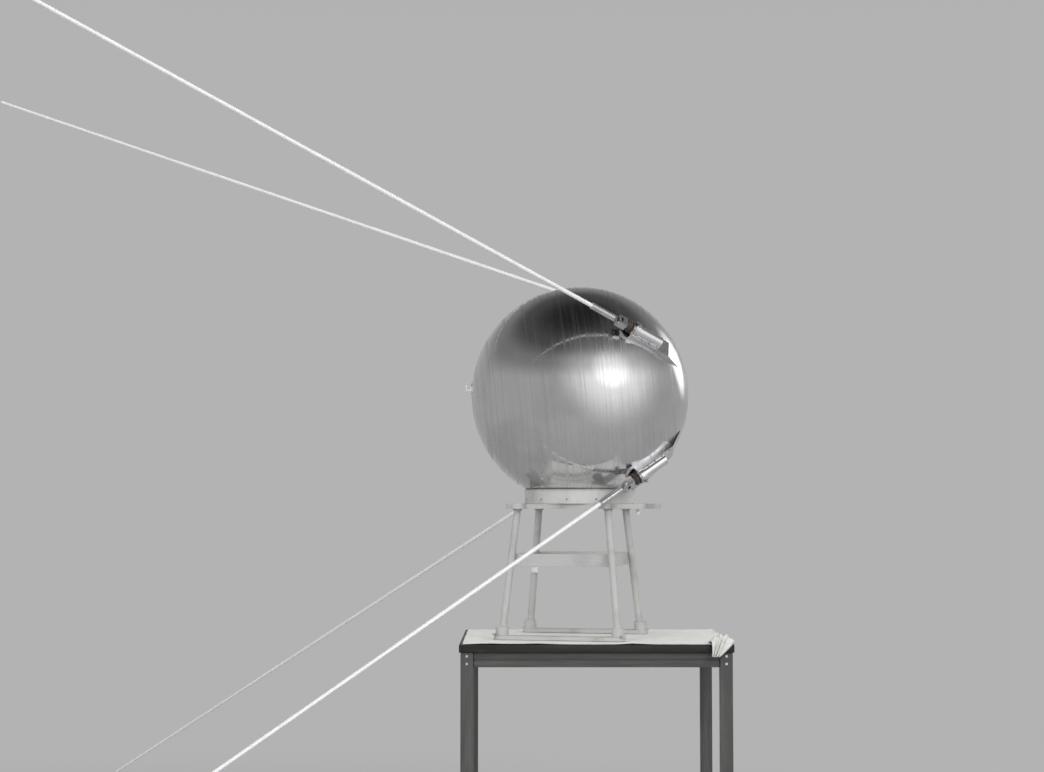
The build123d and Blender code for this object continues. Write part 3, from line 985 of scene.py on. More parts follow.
@dataclass
class Antenna:
    """One whip antenna's fitting, measured in the frame of its saddle; heads are a radius and a height."""

    name: str
    joint: Dict[str, object]
    shared: Shared
    hinge_reach: float = 106.0 * MM
    axis_height: float = 14.0 * MM
    saddle_top: float = 9.0 * MM
    screw_row: float = 19.0 * MM
    screw_stations: Tuple[float, ...] = (-50.0 * MM, -26.0 * MM, -2.0 * MM, 22.0 * MM)
    screw_head: Pair = (3.0 * MM, 2.2 * MM)
    screw_spin: float = 900.0
    clamp_station: float = 51.0 * MM
    clamp_crown: float = 33.6 * MM
    clamp_bolt: Pair = (5.2 * MM, 6.0 * MM)
    pin_half_length: float = 16.05 * MM
    pin_nut: Pair = (4.6 * MM, 4.4 * MM)
    insulator_start: float = 62.0 * MM
    insulator_length: float = 16.0 * MM
    neck_radius: float = 12.0 * MM
    shed_radius: float = 17.0 * MM
    shed_lip: float = 1.2 * MM
    neck_flare: Pair = (0.5, 0.2)
    stem_radius: float = 8.05 * MM
    ferrule_start: float = 121.0 * MM
    ferrule_end: float = 192.0 * MM
    ring_radius: float = 8.0 * MM
    ring_thickness: float = 1.4 * MM
    ring_shares: Tuple[float, ...] = (0.12, 0.55, 0.72, 0.97)

    @cached_property
    def place(self) -> Matrix:
        """Finds the fitting's frame from its hinge and its whip.

        Returns:
            Frame with X along the whip, Y along the hinge and its origin on the ball.
        """
        hinge = Vector(self.joint["pos_m"])
        across = Vector(self.joint["axis"]).normalized()
        tip = max(cad_points(f"{self.name}_whip"), key=lambda point: (point - hinge).length)
        along = tip - hinge
        along = (along - across * along.dot(across)).normalized()
        outward = along.cross(across)
        return frame_matrix(hinge - along * self.hinge_reach - outward * self.axis_height, along, across)

    @property
    def ball_centre(self) -> Vector:
        """The ball's centre, as this fitting's place gives it."""
        return self.place.to_translation() - self.place.to_3x3().col[2] * BALL_RADIUS

    def at(self, x: float, y: float, z: float) -> Matrix:
        """The fitting's frame, moved to a point in it."""
        return self.place @ Matrix.Translation((x, y, z))

    def axis_frame(self, station: float) -> Matrix:
        """Frame on the whip's axis with Z along the whip."""
        return self.at(station, 0, self.axis_height) @ Matrix.Rotation(math.radians(90), 4, "Y")

    def fastenings(self) -> None:
        """Saddle screws, the clamp ring's bolt and the hinge pin's end nuts."""
        piece = Piece(f"{self.name}_fastenings")
        for station in self.screw_stations:
            for side in (-1, 1):
                spin = Matrix.Rotation(station * self.screw_spin + side, 4, "Z")
                spot = self.at(station, side * self.screw_row, self.saddle_top)
                piece.slotted_screw(spot @ spin, *self.screw_head)
        piece.hex_bolt(self.at(self.clamp_station, 0, self.clamp_crown), *self.clamp_bolt)
        for side in (-1, 1):
            ear = self.at(self.hinge_reach, side * self.pin_half_length, self.axis_height)
            piece.hex_bolt(ear @ Matrix.Rotation(math.radians(-90 * side), 4, "X"), *self.pin_nut)
        piece.done(Slot.STEEL, self.shared.steel)

    def bushing(self) -> None:
        """Turned insulator with two rounded sheds and a hollow for the stem."""
        quarter = self.insulator_length / 4
        shed, neck, lip = (self.shed_radius, self.neck_radius, self.shed_lip)
        flare, rise = (lip * share for share in self.neck_flare)
        shed_half = [(-lip, 0.0), (-lip * ROUND_SHARE, lip * ROUND_SHARE), (0.0, lip)]
        outline = [(self.stem_radius, 0.0)]
        for base, last_step in ((0.0, flare), (2 * quarter, -lip)):
            top = base + quarter
            end = top + quarter
            outline += [(shed + step, base + lift) for step, lift in shed_half]
            outline += [(shed + step, top - lift) for step, lift in reversed(shed_half)]
            outline += [(neck + flare, top + rise), (neck, top + lip), (neck, end - lip)]
            outline.append((neck + last_step, end))
        outline.append((self.stem_radius, self.insulator_length))
        piece = Piece(f"{self.name}_bushing")
        piece.lathe(self.axis_frame(self.insulator_start), outline, sides=56, loop=True)
        piece.done(Slot.INSULATOR, self.shared.insulation, replaces=[f"{self.name}_insulator"])

    def ferrule_rings(self) -> None:
        """Rolled rings that lock the whip in its ferrule."""
        piece = Piece(f"{self.name}_ferrule_rings")
        span = self.ferrule_end - self.ferrule_start
        for share in self.ring_shares:
            station = self.ferrule_start + span * share
            piece.bead(self.axis_frame(station), self.ring_radius, self.ring_thickness)
        piece.done(Slot.STEEL, self.shared.steel, body=str(self.joint["child"]))

    def build(self) -> None:
        """Builds and dresses the whole fitting."""
        self.fastenings()
        self.bushing()
        self.ferrule_rings()
        dress(DRAWN_METAL.material(f"{self.name}_drawn", self.place), f"{self.name}_saddle")
        dress(WHIP_ROD.material(f"{self.name}_rod", self.place), f"{self.name}_whip")
        dress(self.shared.steel, *(f"{self.name}_{part}" for part in ("fork", "pin", "knuckle")))


@dataclass
class Ball:
    """The two polished half balls and the small fittings on them; outlines are in millimetres."""

    centre: Vector
    shared: Shared
    front_wall: float = 3.0 * MM
    rear_wall: float = 2.0 * MM
    seam_half: float = 1.0 * MM
    lip: float = 0.15 * MM
    nose_yaw: float = 0.7
    nose_up: float = 5.4
    sides: int = 224
    arc_steps: int = 76
    inner_steps: int = 25
    valve_foot: float = 8.0 * MM
    valve_bolts: Tuple[int, float] = (6, 22.0 * MM)
    valve_bolt: Pair = (3.2 * MM, 3.4 * MM)
    socket_foot: float = 10.0 * MM
    socket_plate: Outline = ((0, 0.1), (21.6, 0.1), (21.6, 3.4), (21.0, 4), (0, 4))
    plate_top: float = 4.0 * MM
    pin_circles: Tuple[Tuple[int, float], ...] = ((1, 0.0), (6, 7.5 * MM), (12, 15.0 * MM))
    pin_outline: Outline = ((0, 0), (1.3, 0), (1.3, 8), (0.7, 9.4), (0, 9.6))
    socket_screws: Tuple[int, float] = (8, 32.0 * MM)
    socket_screw: Pair = (2.6 * MM, 2.0 * MM)
    heel_polar: float = 172.0
    heel_sink: float = 0.6 * MM
    heel_neck: Outline = (
        (0, 0), (13, 0), (13, 2.6), (12, 3.6), (6.5, 4.4), (5, 6.5), (4.6, 15), (3.6, 16.4), (0, 16.6)
    )
    lug_place: Triple = (-5.0 * MM, 0, 14.5 * MM)
    lug_size: Triple = (22.0 * MM, 9.0 * MM, 4.0 * MM)
    lug_rounding: float = 1.2 * MM
    lug_screw_place: Triple = (-11.0 * MM, 0, 16.4 * MM)
    lug_screw: Pair = (3.0 * MM, 3.0 * MM)

    @cached_property
    def place(self) -> Matrix:
        """Finds the ball's frame from the nose's direction.

        Returns:
            Frame at the centre with Z along the nose axis.
        """
        yaw, up = (math.radians(self.nose_yaw), math.radians(self.nose_up))
        nose = polar(math.cos(up), yaw, math.sin(up))
        rise = polar(-math.sin(up), yaw, math.cos(up))
        return frame_matrix(self.centre, rise, nose.cross(rise))

    def half(self, name: str, node: str, wall: float, side: int, polished: Material) -> None:
        """One thin half ball with a rounded rim at the seam.

        Args:
            name: The new piece's name.
            node: CAD node that it stands for.
            wall: Wall thickness.
            side: 1 towards the nose, -1 towards the rear.
            polished: Its material.
        """
        edge, lip = (self.seam_half, self.lip)
        inner = BALL_RADIUS - wall
        last = math.acos((edge + lip) / BALL_RADIUS)
        first = math.acos(edge / inner)
        soft = lip * ROUND_SHARE
        outside = [last * i / self.arc_steps for i in range(self.arc_steps)]
        outside += [last - lip / BALL_RADIUS, last]
        inside = [first * (1 - i / self.inner_steps) for i in range(1, self.inner_steps + 1)]
        outline = [(BALL_RADIUS * math.sin(turn), BALL_RADIUS * math.cos(turn)) for turn in outside]
        outline += [(BALL_RADIUS - soft, edge + soft), (BALL_RADIUS - lip, edge), (inner, edge)]
        outline += [(inner * math.sin(turn), inner * math.cos(turn)) for turn in inside]
        piece = Piece(name).lathe(self.place, outline, self.sides, (1.0, side))
        piece.done(Slot.BALL, polished, replaces=[node], sharp=50.0)

    def fitting(self, name: str, depth: float) -> Matrix:
        """Finds a fitting of the ball by its mount in the record.

        Args:
            name: The mount's name.
            depth: How deep below the mount the fitting's foot lies.

        Returns:
            Frame at the foot, with Z outward.
        """
        mount = next(m for m in frame["record"]["mounts"] if m["name"] == name)
        outward = Vector(mount["axis"]).normalized()
        return facing(Vector(mount["pos_m"]) - outward * depth, outward)

    def valve_bolting(self) -> None:
        """Flange bolts of the filling valve."""
        piece = Piece("filling_valve_bolts")
        for spot in ring_of(self.fitting("filling_stub", self.valve_foot), *self.valve_bolts):
            piece.hex_bolt(spot, *self.valve_bolt)
        piece.done(Slot.STEEL, self.shared.steel)

    def connector_face(self) -> None:
        """Contact pins on an insulating plate at the foot of the test socket, and its flange screws."""
        foot = self.fitting("connector_socket", self.socket_foot)
        plate = Piece("test_connector_plate").lathe(foot, self.socket_plate, scale=IN_MM)
        plate.done(Slot.INSULATOR, self.shared.insulation)
        pins = Piece("test_connector_pins")
        for count, reach in self.pin_circles:
            for spot in ring_of(foot, count, reach, self.plate_top):
                pins.lathe(spot, self.pin_outline, sides=12, scale=IN_MM)
        for spot in ring_of(foot, *self.socket_screws):
            pins.slotted_screw(spot, *self.socket_screw)
        pins.done(Slot.STEEL, self.shared.steel)

    def heel_lug(self) -> None:
        """Rear contact: a small round foot on the ball with a bent lug and its clamp screw."""
        rear = self.place @ Matrix.Rotation(math.radians(self.heel_polar), 4, "Y")
        foot = rear @ Matrix.Translation((0, 0, BALL_RADIUS - self.heel_sink))
        piece = Piece("heel_contact_lug").lathe(foot, self.heel_neck, sides=36, scale=IN_MM)
        piece.slab(foot @ Matrix.Translation(self.lug_place), self.lug_size, self.lug_rounding, steps=3)
        piece.hex_bolt(foot @ Matrix.Translation(self.lug_screw_place), *self.lug_screw)
        piece.done(Slot.STEEL, self.shared.bright, replaces=["heel_contact"])

    def build(self) -> None:
        """Builds and dresses the ball."""
        polished = PolishedBall().material("polished_ball", self.place)
        self.half("ball_front_half", "front_shell", self.front_wall, 1, polished)
        self.half("ball_rear_half", "rear_shell", self.rear_wall, -1, polished)
        self.valve_bolting()
        self.connector_face()
        self.heel_lug()
        dress(CARRIER_METAL.material("joint_ring_metal", self.place), "block_carrier")
        dress(polished, "joint_ring")
        dress(CASE_PAINT.material("block_case_paint"), "power_block")
        dress(self.shared.steel, "filling_valve", "test_connector")


@dataclass(frozen=True)
class Weld:
    """Rippled bead round a leg, at a distance along it from one of its ends."""

    along: float
    radius: float
    thickness: float
    ripples: int


@dataclass
class Stand:
    """Welded tube stand with the collar that holds the ball; outlines are in millimetres."""

    shared: Shared
    level_step: float = 0.5 * MM
    top_weld: Weld = Weld(-1.2 * MM, 10.1 * MM, 2.6 * MM, 22)
    foot_weld: Weld = Weld(22.0 * MM, 9.9 * MM, 2.34 * MM, 20)
    foot_bolt_reach: float = 23.5 * MM
    foot_bolt: Pair = (4.2 * MM, 5.2 * MM)
    knob: Outline = (
        (0, 0), (7.5, 0), (10.5, 2.5), (11, 6), (11, 13), (9.5, 17), (5.5, 19.5), (5, 26), (0, 26)
    )
    knob_height: float = 26.0 * MM
    knob_sink: float = 0.1 * MM
    knob_shift: float = 13.0 * MM
    small_knob_scale: float = 0.62
    small_knob_shift: Pair = (78.0 * MM, 4.0 * MM)
    collar_radius: float = 147.5 * MM
    upper_rim: Pair = (-2.2 * MM, 2.0 * MM)
    lower_rim: Pair = (1.4 * MM, 1.4 * MM)
    rivets: int = 12
    rivet_level: float = 12.0 * MM
    rivet_sink: float = 0.2 * MM
    rivet_dome: Outline = ((0, 0), (3.0, 0), (2.7, 0.9), (1.9, 1.6), (0.9, 2.0), (0, 2.1))

    def leg_ends(self, number: int) -> Tuple[Vector, Vector]:
        """Finds a leg's centre line in its CAD node.

        Args:
            number: The leg's number.

        Returns:
            Its foot and its top.
        """
        points = cad_points(f"stand_leg_{number}")
        ends = []
        for pick in (min, max):
            level = pick(point.z for point in points)
            ring = [point for point in points if abs(point.z - level) < self.level_step]
            low, high = [Vector(side(p[i] for p in ring) for i in range(3)) for side in (min, max)]
            ends.append((low + high) / 2)
        return ends[0], ends[1]

    @cached_property
    def paint(self) -> Material:
        """The stand's worn paint."""
        return STAND_PAINT.material("stand_paint_worn")

    def welds(self) -> None:
        """Beads where the legs meet the top frame and their foot blocks."""
        piece = Piece("stand_weld_beads")
        for number in CORNERS:
            foot, top = self.leg_ends(number)
            run = (top - foot).normalized()
            for end, weld in ((top, self.top_weld), (foot, self.foot_weld)):
                piece.bead(facing(end + run * weld.along), weld.radius, weld.thickness, weld.ripples)
        piece.done(Slot.STAND, self.paint)

    def foot_bolts(self) -> None:
        """Bolts through the ends of the base rails."""
        piece = Piece("stand_foot_bolts")
        middle = sum(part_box("stand_top_frame"), Vector()) / 2
        for number in CORNERS:
            foot, _ = self.leg_ends(number)
            outward = Vector((foot.x - middle.x, foot.y - middle.y, 0)).normalized()
            piece.hex_bolt(facing(foot + outward * self.foot_bolt_reach), *self.foot_bolt)
        piece.done(Slot.STEEL, self.shared.steel)

    def clamp_screws(self) -> None:
        """Turned knobs of the clamp screws, one under the brace and a small one under the top frame."""
        piece = Piece("stand_clamp_screws")
        foot, top = self.leg_ends(CORNERS[-1])
        under_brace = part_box("stand_brace")[0].z
        beside = foot.lerp(top, (under_brace - foot.z) / (top.z - foot.z))
        level = under_brace - self.knob_height + self.knob_sink
        spot = (beside.x, beside.y - self.knob_shift, level)
        piece.lathe(Matrix.Translation(spot), self.knob, sides=32, scale=IN_MM)
        scale = self.small_knob_scale
        corner = self.leg_ends(CORNERS[1])[1] + Vector((*self.small_knob_shift, 0))
        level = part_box("stand_top_frame")[0].z - self.knob_height * scale + self.knob_sink
        spot = (corner.x, corner.y, level)
        piece.lathe(Matrix.Translation(spot), self.knob, sides=28, scale=(scale * MM, scale * MM))
        piece.done(Slot.STEEL, self.shared.bright)

    def collar(self) -> None:
        """Rolled rims of the collar, the rivets round its foot, and its paint."""
        paint = COLLAR_PAINT.material("collar_paint")
        low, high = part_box("collar")
        middle = (low + high) / 2
        rim = Piece("collar_rolled_rim")
        for end, (shift, thickness) in ((high, self.upper_rim), (low, self.lower_rim)):
            spot = Vector((middle.x, middle.y, end.z + shift))
            rim.bead(facing(spot), self.collar_radius, thickness)
        rim.done(Slot.COLLAR, paint)
        rivets = Piece("collar_rivets")
        for number in range(self.rivets):
            outward = polar(1.0, 2 * math.pi * (number + 0.5) / self.rivets)
            spot = Vector((middle.x, middle.y, low.z + self.rivet_level))
            spot += outward * (self.collar_radius - self.rivet_sink)
            rivets.lathe(facing(spot, outward), self.rivet_dome, sides=20, scale=IN_MM)
        rivets.done(Slot.STEEL, self.shared.steel)
        dress(paint, "collar")

    def build(self) -> None:
        """Builds and dresses the stand."""
        self.welds()
        self.foot_bolts()
        self.clamp_screws()
        self.collar()
        dress(self.paint, *(node for node in frame["nodes"] if node.startswith("stand_")))


@dataclass
class Bench:
    """Dark wooden bench, and the sizes of its boards, rails and screws."""

    shared: Shared
    board_rounding: float = 2.2 * MM
    rail_rounding: float = 1.2 * MM
    apron_groove: float = 2.0 * MM
    groove_half_width: float = 1.0 * MM
    core_inset: float = 2.0 * MM
    core_rounding: float = 0.3 * MM
    thinnest_rail: float = 5.0 * MM
    screw_inset: float = 9.0 * MM
    screw_head: Pair = (3.6 * MM, 1.2 * MM)

    def board(self, name: str, node: str, slot: Slot, wood: StainedWood) -> None:
        """One bevelled board in a CAD board's place.

        Args:
            name: The piece's name, also its material's.
            node: CAD node that it stands for.
            slot: The record's slot.
            wood: Its finish.
        """
        piece = Piece(name).block(*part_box(node), self.board_rounding, steps=3)
        piece.done(slot, wood.material(f"{name}_wood"), replaces=[node], sharp=50.0)

    def rails(self, node: str, groove: float) -> None:
        """Front, back and end rails of one level, split by a groove where they have one.

        Args:
            node: CAD node with the four rails.
            groove: Depth of the groove along the middle, or 0 for a plain rail.
        """
        low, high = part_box(node)
        legs = [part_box(f"bench_leg_{number}") for number in CORNERS]
        left, near = [min(box[1][axis] for box in legs) for axis in (0, 1)]
        right, far = [max(box[0][axis] for box in legs) for axis in (0, 1)]
        thick = self.rail_thickness(node)
        middle = (low.z + high.z) / 2
        spans = [(low.z, high.z)]
        if groove:
            spans = [(low.z, middle - self.groove_half_width), (middle + self.groove_half_width, high.z)]
        sides = (
            ("near", (left, low.y, right, low.y + thick), Grain.ALONG_X),
            ("far", (left, high.y - thick, right, high.y), Grain.ALONG_X),
            ("left", (low.x, near, low.x + thick, far), Grain.ALONG_Y),
            ("right", (high.x - thick, near, high.x, far), Grain.ALONG_Y),
        )
        for side, (x0, y0, x1, y1), grain in sides:
            piece = Piece(f"{node}_{side}")
            if groove:
                inset = Vector((groove, groove, self.core_inset))
                core = (Vector((x0, y0, low.z)) + inset, Vector((x1, y1, high.z)) - inset)
                piece.block(*core, self.core_rounding, steps=1)
            for bottom, top in spans:
                piece.block(Vector((x0, y0, bottom)), Vector((x1, y1, top)), self.rail_rounding, steps=2)
            wood = frame_wood(grain).material(f"{node}_{side}_wood")
            piece.done(Slot.BENCH_FRAME, wood, replaces=[node], sharp=50.0)

    def rail_thickness(self, node: str) -> float:
        """Reads the thickness of a node's rails from its lowest Y side.

        Args:
            node: CAD node with the rails.

        Returns:
            The thickness.
        """
        points = cad_points(node)
        near = min(point.y for point in points)
        inner = sorted({round(point.y - near, 5) for point in points})
        return next(step for step in inner if step > self.thinnest_rail)

    def screws(self) -> None:
        """Countersunk screws that hold the apron to the legs."""
        piece = Piece("bench_leg_screws")
        low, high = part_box("bench_apron")
        for number in CORNERS:
            leg_low, leg_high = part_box(f"bench_leg_{number}")
            middle = (leg_low + leg_high) / 2
            near = middle.y < (low.y + high.y) / 2
            face, outward = (leg_low.y, Vector((0, -1, 0))) if near else (leg_high.y, Vector((0, 1, 0)))
            for level in (low.z + self.screw_inset, high.z - self.screw_inset):
                piece.slotted_screw(facing(Vector((middle.x, face, level)), outward), *self.screw_head)
        piece.done(Slot.STEEL, self.shared.steel)

    def build(self) -> None:
        """Builds the bench."""
        # The top takes the near-black default colour: dark stain plus painted shade for the gap along its front
        # edge.
        self.board("bench_top_board", "bench_top", Slot.BENCH_TOP, StainedWood(Grain.ALONG_X))
        posts = frame_wood(Grain.ALONG_Z)
        for number in CORNERS:
            self.board(f"bench_post_{number}", f"bench_leg_{number}", Slot.BENCH_FRAME, posts)
        self.rails("bench_apron", self.apron_groove)
        self.rails("bench_stretcher", 0.0)
        self.screws()


@dataclass
class BenchCloth:
    """Pale cloth laid on the bench, its near right corner bunched and hung over the edge."""

    inset: float = 8.0 * MM
    right_inset: float = 1.0 * MM
    lift: float = 0.5 * MM
    thickness: float = 0.6 * MM
    wrinkle: float = 0.9 * MM
    wrinkle_lumps: float = 16.0
    wrinkle_shares: Pair = (0.35, 0.4)
    wrinkle_fractal: Tuple[float, float, int] = (0.9, 2.1, 3)
    ridge_height: float = 2.4 * MM
    ridge_lumps: Pair = (5.0, 7.0)
    ridge_seeds: Pair = (4, 2)
    ridge_sharpness: float = 5.0
    pressed_margin: float = 40.0 * MM
    fray: float = 2.2 * MM
    fray_lumps: float = 9.0
    fray_seeds: Pair = (3, 7)
    sheet_grid: Tuple[int, int] = (170, 146)
    fold_grid: Tuple[int, int] = (70, 46)
    fold_width: float = 60.0 * MM
    hem_width: float = 20.0 * MM
    fold_run: float = 150.0 * MM
    fold_drop: float = 42.0 * MM
    fold_crest: float = 24.0 * MM
    fold_bend: float = 12.0 * MM
    fold_overhang: float = 1.5 * MM
    fold_sway: float = 1.4 * MM
    sway_turns: Pair = (5, 9)
    fold_roundness: int = 3
    fold_sink: float = 0.5 * MM
    hem_pull: float = 1.15
    pleats: float = 3.2
    pleat_crowding: float = 0.16
    pleat_squareness: float = 0.7
    pleat_depth: float = 4.2 * MM
    pleat_rest: float = 0.25
    pleat_wander: float = 2.0
    wander_lumps: Triple = (3, 2, 9)
    creases: Triple = (0.35, 23.0, 4.0)
    pleat_unevenness: float = 0.6
    uneven_lumps: Triple = (6, 3, 5)

    @staticmethod
    def waver(x: float, y: float, z: float) -> float:
        """Smooth noise about 0 at a point."""
        return noise.noise(Vector((x, y, z)))

    def sheet_spot(self, u: float, v: float, low: Vector, high: Vector, rails: Sequence[Vector]) -> Vector:
        """Point of the cloth that lies on the bench.

        Args:
            u: Share across, along X.
            v: Share along Y.
            low: Near left corner.
            high: Far right corner.
            rails: Lowest and highest corner of the stand's rails, which press the cloth flat.

        Returns:
            The point, with small wrinkles that stay under the stand's rails.
        """
        x = low.x + (high.x - low.x) * u
        y = low.y + (high.y - low.y) * v
        if u in (0, 1):
            x += self.fray * self.waver(0, v * self.fray_lumps, self.fray_seeds[0])
        if v in (0, 1):
            y += self.fray * self.waver(u * self.fray_lumps, 0, self.fray_seeds[1])
        place = Vector((x * self.wrinkle_lumps, y * self.wrinkle_lumps, 0))
        swell, rest = self.wrinkle_shares
        soft = swell * noise.fractal(place, *self.wrinkle_fractal) + rest
        along, across = self.ridge_lumps
        shift, seed = self.ridge_seeds
        ridge = 1.0 - abs(self.waver(x * along + shift, y * across, seed)) * self.ridge_sharpness
        gap = max(rails[0].x - x, x - rails[1].x, rails[0].y - y, y - rails[1].y, 0.0)
        free = min(1.0, gap / self.pressed_margin)
        height = self.wrinkle * soft + free * self.ridge_height * max(0.0, ridge)
        return Vector((x, y, high.z + self.lift + max(0.0, height)))

    def fold_line(self, travelled: float, corner: Vector) -> Tuple[Vector, Vector, float]:
        """Middle line of the bunched corner: along the bench, round the front edge and down.

        Args:
            travelled: Distance along it.
            corner: Near right corner of the bench top.

        Returns:
            The point, the direction away from the bench, and how far the fold has risen, from 0 to 1.
        """
        bend = self.fold_bend
        run = self.fold_run - bend
        quarter = bend * math.pi / 2
        crest = corner.z + self.lift + self.fold_crest
        if travelled < run:
            risen = 0.5 - 0.5 * math.cos(math.pi * travelled / run)
            level = corner.z + self.lift + self.fold_crest * risen
            return Vector((0, corner.y + run - travelled, level)), UP, risen
        if travelled < run + quarter:
            angle = (travelled - run) / bend
            outward = Vector((0, -math.sin(angle), math.cos(angle)))
            return Vector((0, corner.y, crest - bend)) + outward * bend, outward, 1.0
        below = travelled - run - quarter
        return Vector((0, corner.y - bend, crest - bend - below)), Vector((0, -1, 0)), 1.0

    def fold_spot(self, u: float, v: float, corner: Vector) -> Vector:
        """Point of the bunched corner.

        Args:
            u: Share across the pleats, from left to right.
            v: Share along the fold, from the bench to the hem.
            corner: Near right corner of the bench top.

        Returns:
            The point.
        """
        run = self.fold_run - self.fold_bend
        total = run + self.fold_bend * math.pi / 2 + self.fold_drop
        base, outward, risen = self.fold_line(v * total, corner)
        drawn_in = (max(0.0, v * total - run) / (total - run)) ** self.hem_pull
        narrow = self.fold_width + (self.hem_width - self.fold_width) * drawn_in
        left = corner.x + self.fold_overhang - self.fold_width
        across, along = self.sway_turns
        base.x = left + narrow * u + self.fold_sway * math.sin(along * v + across * u)
        rounding = abs(2 * u - 1) ** self.fold_roundness
        base.z -= (self.fold_crest - self.pleat_depth) * risen * rounding * (1 - drawn_in)
        turns = self.pleats * (u + self.pleat_crowding * u * u)
        across, along, seed = self.wander_lumps
        wave = math.sin(2 * math.pi * turns + self.pleat_wander * self.waver(u * across, v * along, seed))
        height, across, along = self.creases
        pleat = math.copysign(abs(wave) ** self.pleat_squareness, wave)
        pleat += height * math.sin(across * u + along * v)
        across, along, seed = self.uneven_lumps
        pleat *= 1.0 + self.pleat_unevenness * self.waver(u * across, v * along, seed)
        raised = self.pleat_rest + (1.0 - self.pleat_rest) * risen
        return base + outward * (self.pleat_depth * pleat * raised - self.fold_sink)

    def build(self) -> None:
        low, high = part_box("bench_top")
        near_left = low + Vector((self.inset, self.inset, 0))
        far_right = high - Vector((self.right_inset, self.inset, 0))
        corner = Vector((high.x, low.y, high.z))
        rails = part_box("stand_base_rails")
        piece = Piece("bench_cloth")
        piece.grid(*self.sheet_grid, lambda u, v: self.sheet_spot(u, v, near_left, far_right, rails))
        piece.grid(*self.fold_grid, lambda u, v: self.fold_spot(u, v, corner))
        area = sum(face.calc_area() for face in piece.mesh.faces)
        cotton = PlainCotton().material("bench_cotton")
        cloth = piece.done(Slot.CLOTH, cotton, replaces=["cover_cloth"], sharp=80.0)
        solid = cloth.modifiers.new("thickness", "SOLIDIFY")
        solid.thickness = self.thickness
        solid.offset = 0.0
        width = far_right.x - near_left.x
        area / width


@dataclass(frozen=True)
class Lamp:
    """Soft rectangular lamp that faces the ball; polished metal shows the glows instead of it."""

    name: str
    toward: Triple
    distance: float
    size: Pair
    watts: float

    def build(self, centre: Vector) -> None:
        """Sets the lamp up.

        Args:
            centre: The ball's centre.
        """
        data = bpy.data.lights.new(self.name, "AREA")
        data.shape = "RECTANGLE"
        data.size, data.size_y = self.size
        data.energy = self.watts
        toward = Vector(self.toward)
        made = bpy.data.objects.new(self.name, data)
        made.location = centre + toward.normalized() * self.distance
        made.rotation_euler = (-toward).to_track_quat("-Z", "Y").to_euler()
        made.visible_camera = False
        made.visible_glossy = False
        bpy.context.scene.collection.objects.link(made)


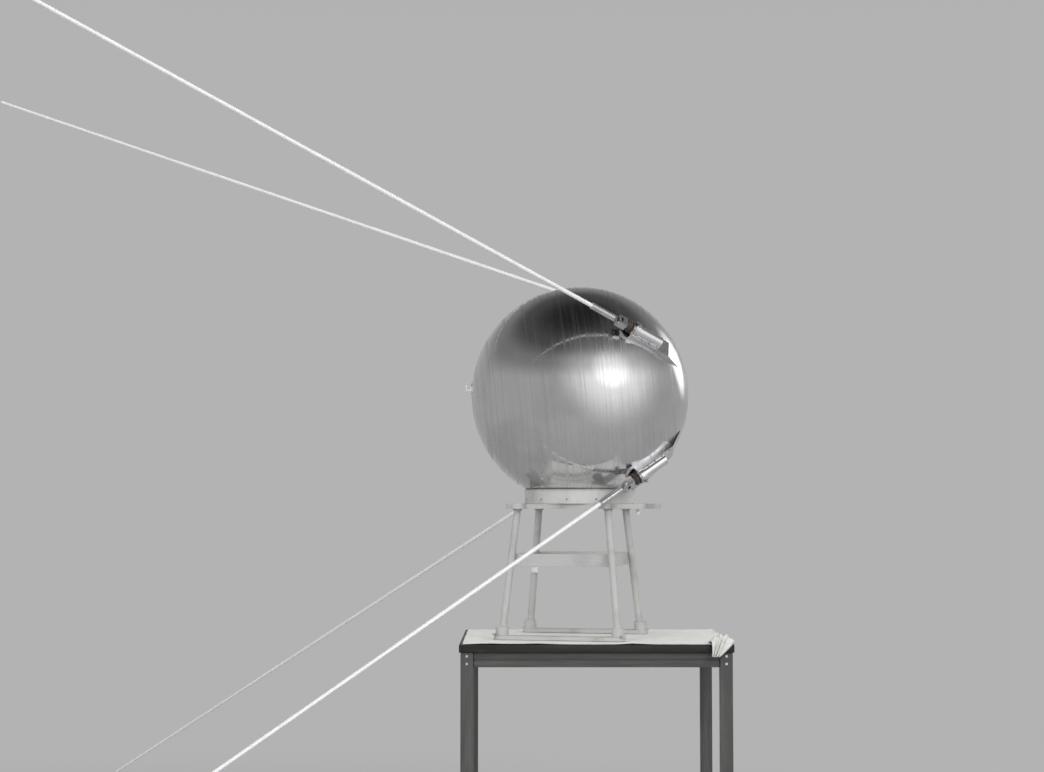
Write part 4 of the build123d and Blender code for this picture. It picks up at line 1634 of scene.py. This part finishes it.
@dataclass
class Studio:
    """Pale floor and background, soft lamps and the camera at the photograph's place."""

    ball_centre: Vector
    camera_offset: Triple = (-0.155, -5.3546, -0.2835)
    camera_tilt: float = 3.3
    focal_pixels: float = 2000.0
    image_width: float = 1044.0
    sensor_width: float = 36.0
    view_reach: float = 200.0
    floor_reach: float = 40.0
    sky_levels: Tuple[Pair, ...] = ((0.0, 0.45), (0.22, 0.45), (0.52, 0.24), (0.78, 0.08), (1.0, 0.02))
    fill_level: float = 0.60
    glows: Glows = Glows()
    lamps: Tuple[Lamp, ...] = (
        Lamp("key_softbox", Glows.toward, 8.5, (3.2, 2.8), 270.0),
        Lamp("front_softbox", (-0.5, -0.85, 0.12), 8.5, (3.2, 2.8), 240.0),
        Lamp("rim_strip", Glows.rim_toward, 7.0, (1.6, 3.4), 105.0),
        Lamp("overhead", (-0.15, -0.2, 1.0), 7.0, (6.0, 6.0), 110.0),
    )

    def camera(self) -> None:
        """Camera that looks along +Y, tilted up a little."""
        data = bpy.data.cameras.new("camera")
        data.sensor_width = self.sensor_width
        data.lens = self.focal_pixels / self.image_width * self.sensor_width
        data.clip_end = self.view_reach
        made = bpy.data.objects.new("camera", data)
        made.location = self.ball_centre + Vector(self.camera_offset)
        made.rotation_euler = (math.radians(90 + self.camera_tilt), 0, 0)
        bpy.context.scene.collection.objects.link(made)
        bpy.context.scene.camera = made

    def floor(self) -> None:
        """Wide pale floor."""
        reach = self.floor_reach
        data = bpy.data.meshes.new("studio_floor")
        corners = [(-reach, -reach, 0), (reach, -reach, 0), (reach, reach, 0), (-reach, reach, 0)]
        data.from_pydata(corners, [], [(0, 1, 2, 3)])
        data.materials.append(StudioFloor(self.ball_centre, self.glows).material("studio_floor"))
        made = bpy.data.objects.new("studio_floor", data)
        bpy.context.scene.collection.objects.link(made)

    def surroundings(self) -> None:
        """World with plain light for dull surfaces; metal sees a pale horizon, a dark zenith and glows."""
        world = bpy.data.worlds.new("studio")
        world.use_nodes = True
        bpy.context.scene.world = world
        graph = Graph(world.node_tree)
        graph.tree.nodes.clear()
        where = graph.node("ShaderNodeTexCoord", output="Generated")
        height = graph.node("ShaderNodeSeparateXYZ", sockets={"Vector": where}, output="Z")
        level = graph.node("ShaderNodeValToRGB", {"stops": self.sky_levels}, {"Fac": height})
        lit = {"Color": level, "Strength": 1.0 + self.glows.light(graph, where)}
        fill = {"Color": WHITE, "Strength": self.fill_level}
        shown, plain = [graph.node("ShaderNodeBackground", sockets=light) for light in (lit, fill)]
        blend = graph.node("ShaderNodeMixShader", sockets={0: graph.seen(), 1: plain, 2: shown})
        graph.node("ShaderNodeOutputWorld", sockets={"Surface": blend}, output=None)

    def build(self) -> None:
        """Builds the whole studio."""
        bpy.context.scene.view_settings.view_transform = "Standard"
        self.camera()
        self.floor()
        self.surroundings()
        for lamp in self.lamps:
            lamp.build(self.ball_centre)


def main() -> None:
    """Builds every sub-assembly around the frame."""
    logging.basicConfig(level=logging.INFO, format="%(name)s: %(message)s")
    shared = Shared(
        steel=MACHINED_STEEL.material("machined_steel"),
        bright=BRIGHT_STEEL.material("bright_steel"),
        insulation=MouldedInsulation().material("phenolic"),
    )
    antennas = [Antenna(str(joint["name"]).replace("_fold", ""), joint, shared) for joint in frame["joints"]]
    centre = sum((antenna.ball_centre for antenna in antennas), Vector()) / len(antennas)
    assemblies = [Studio(centre), Ball(centre, shared), *antennas, Stand(shared), Bench(shared), BenchCloth()]
    for assembly in assemblies:
        assembly.build()


if __name__ == "__main__":
    main()
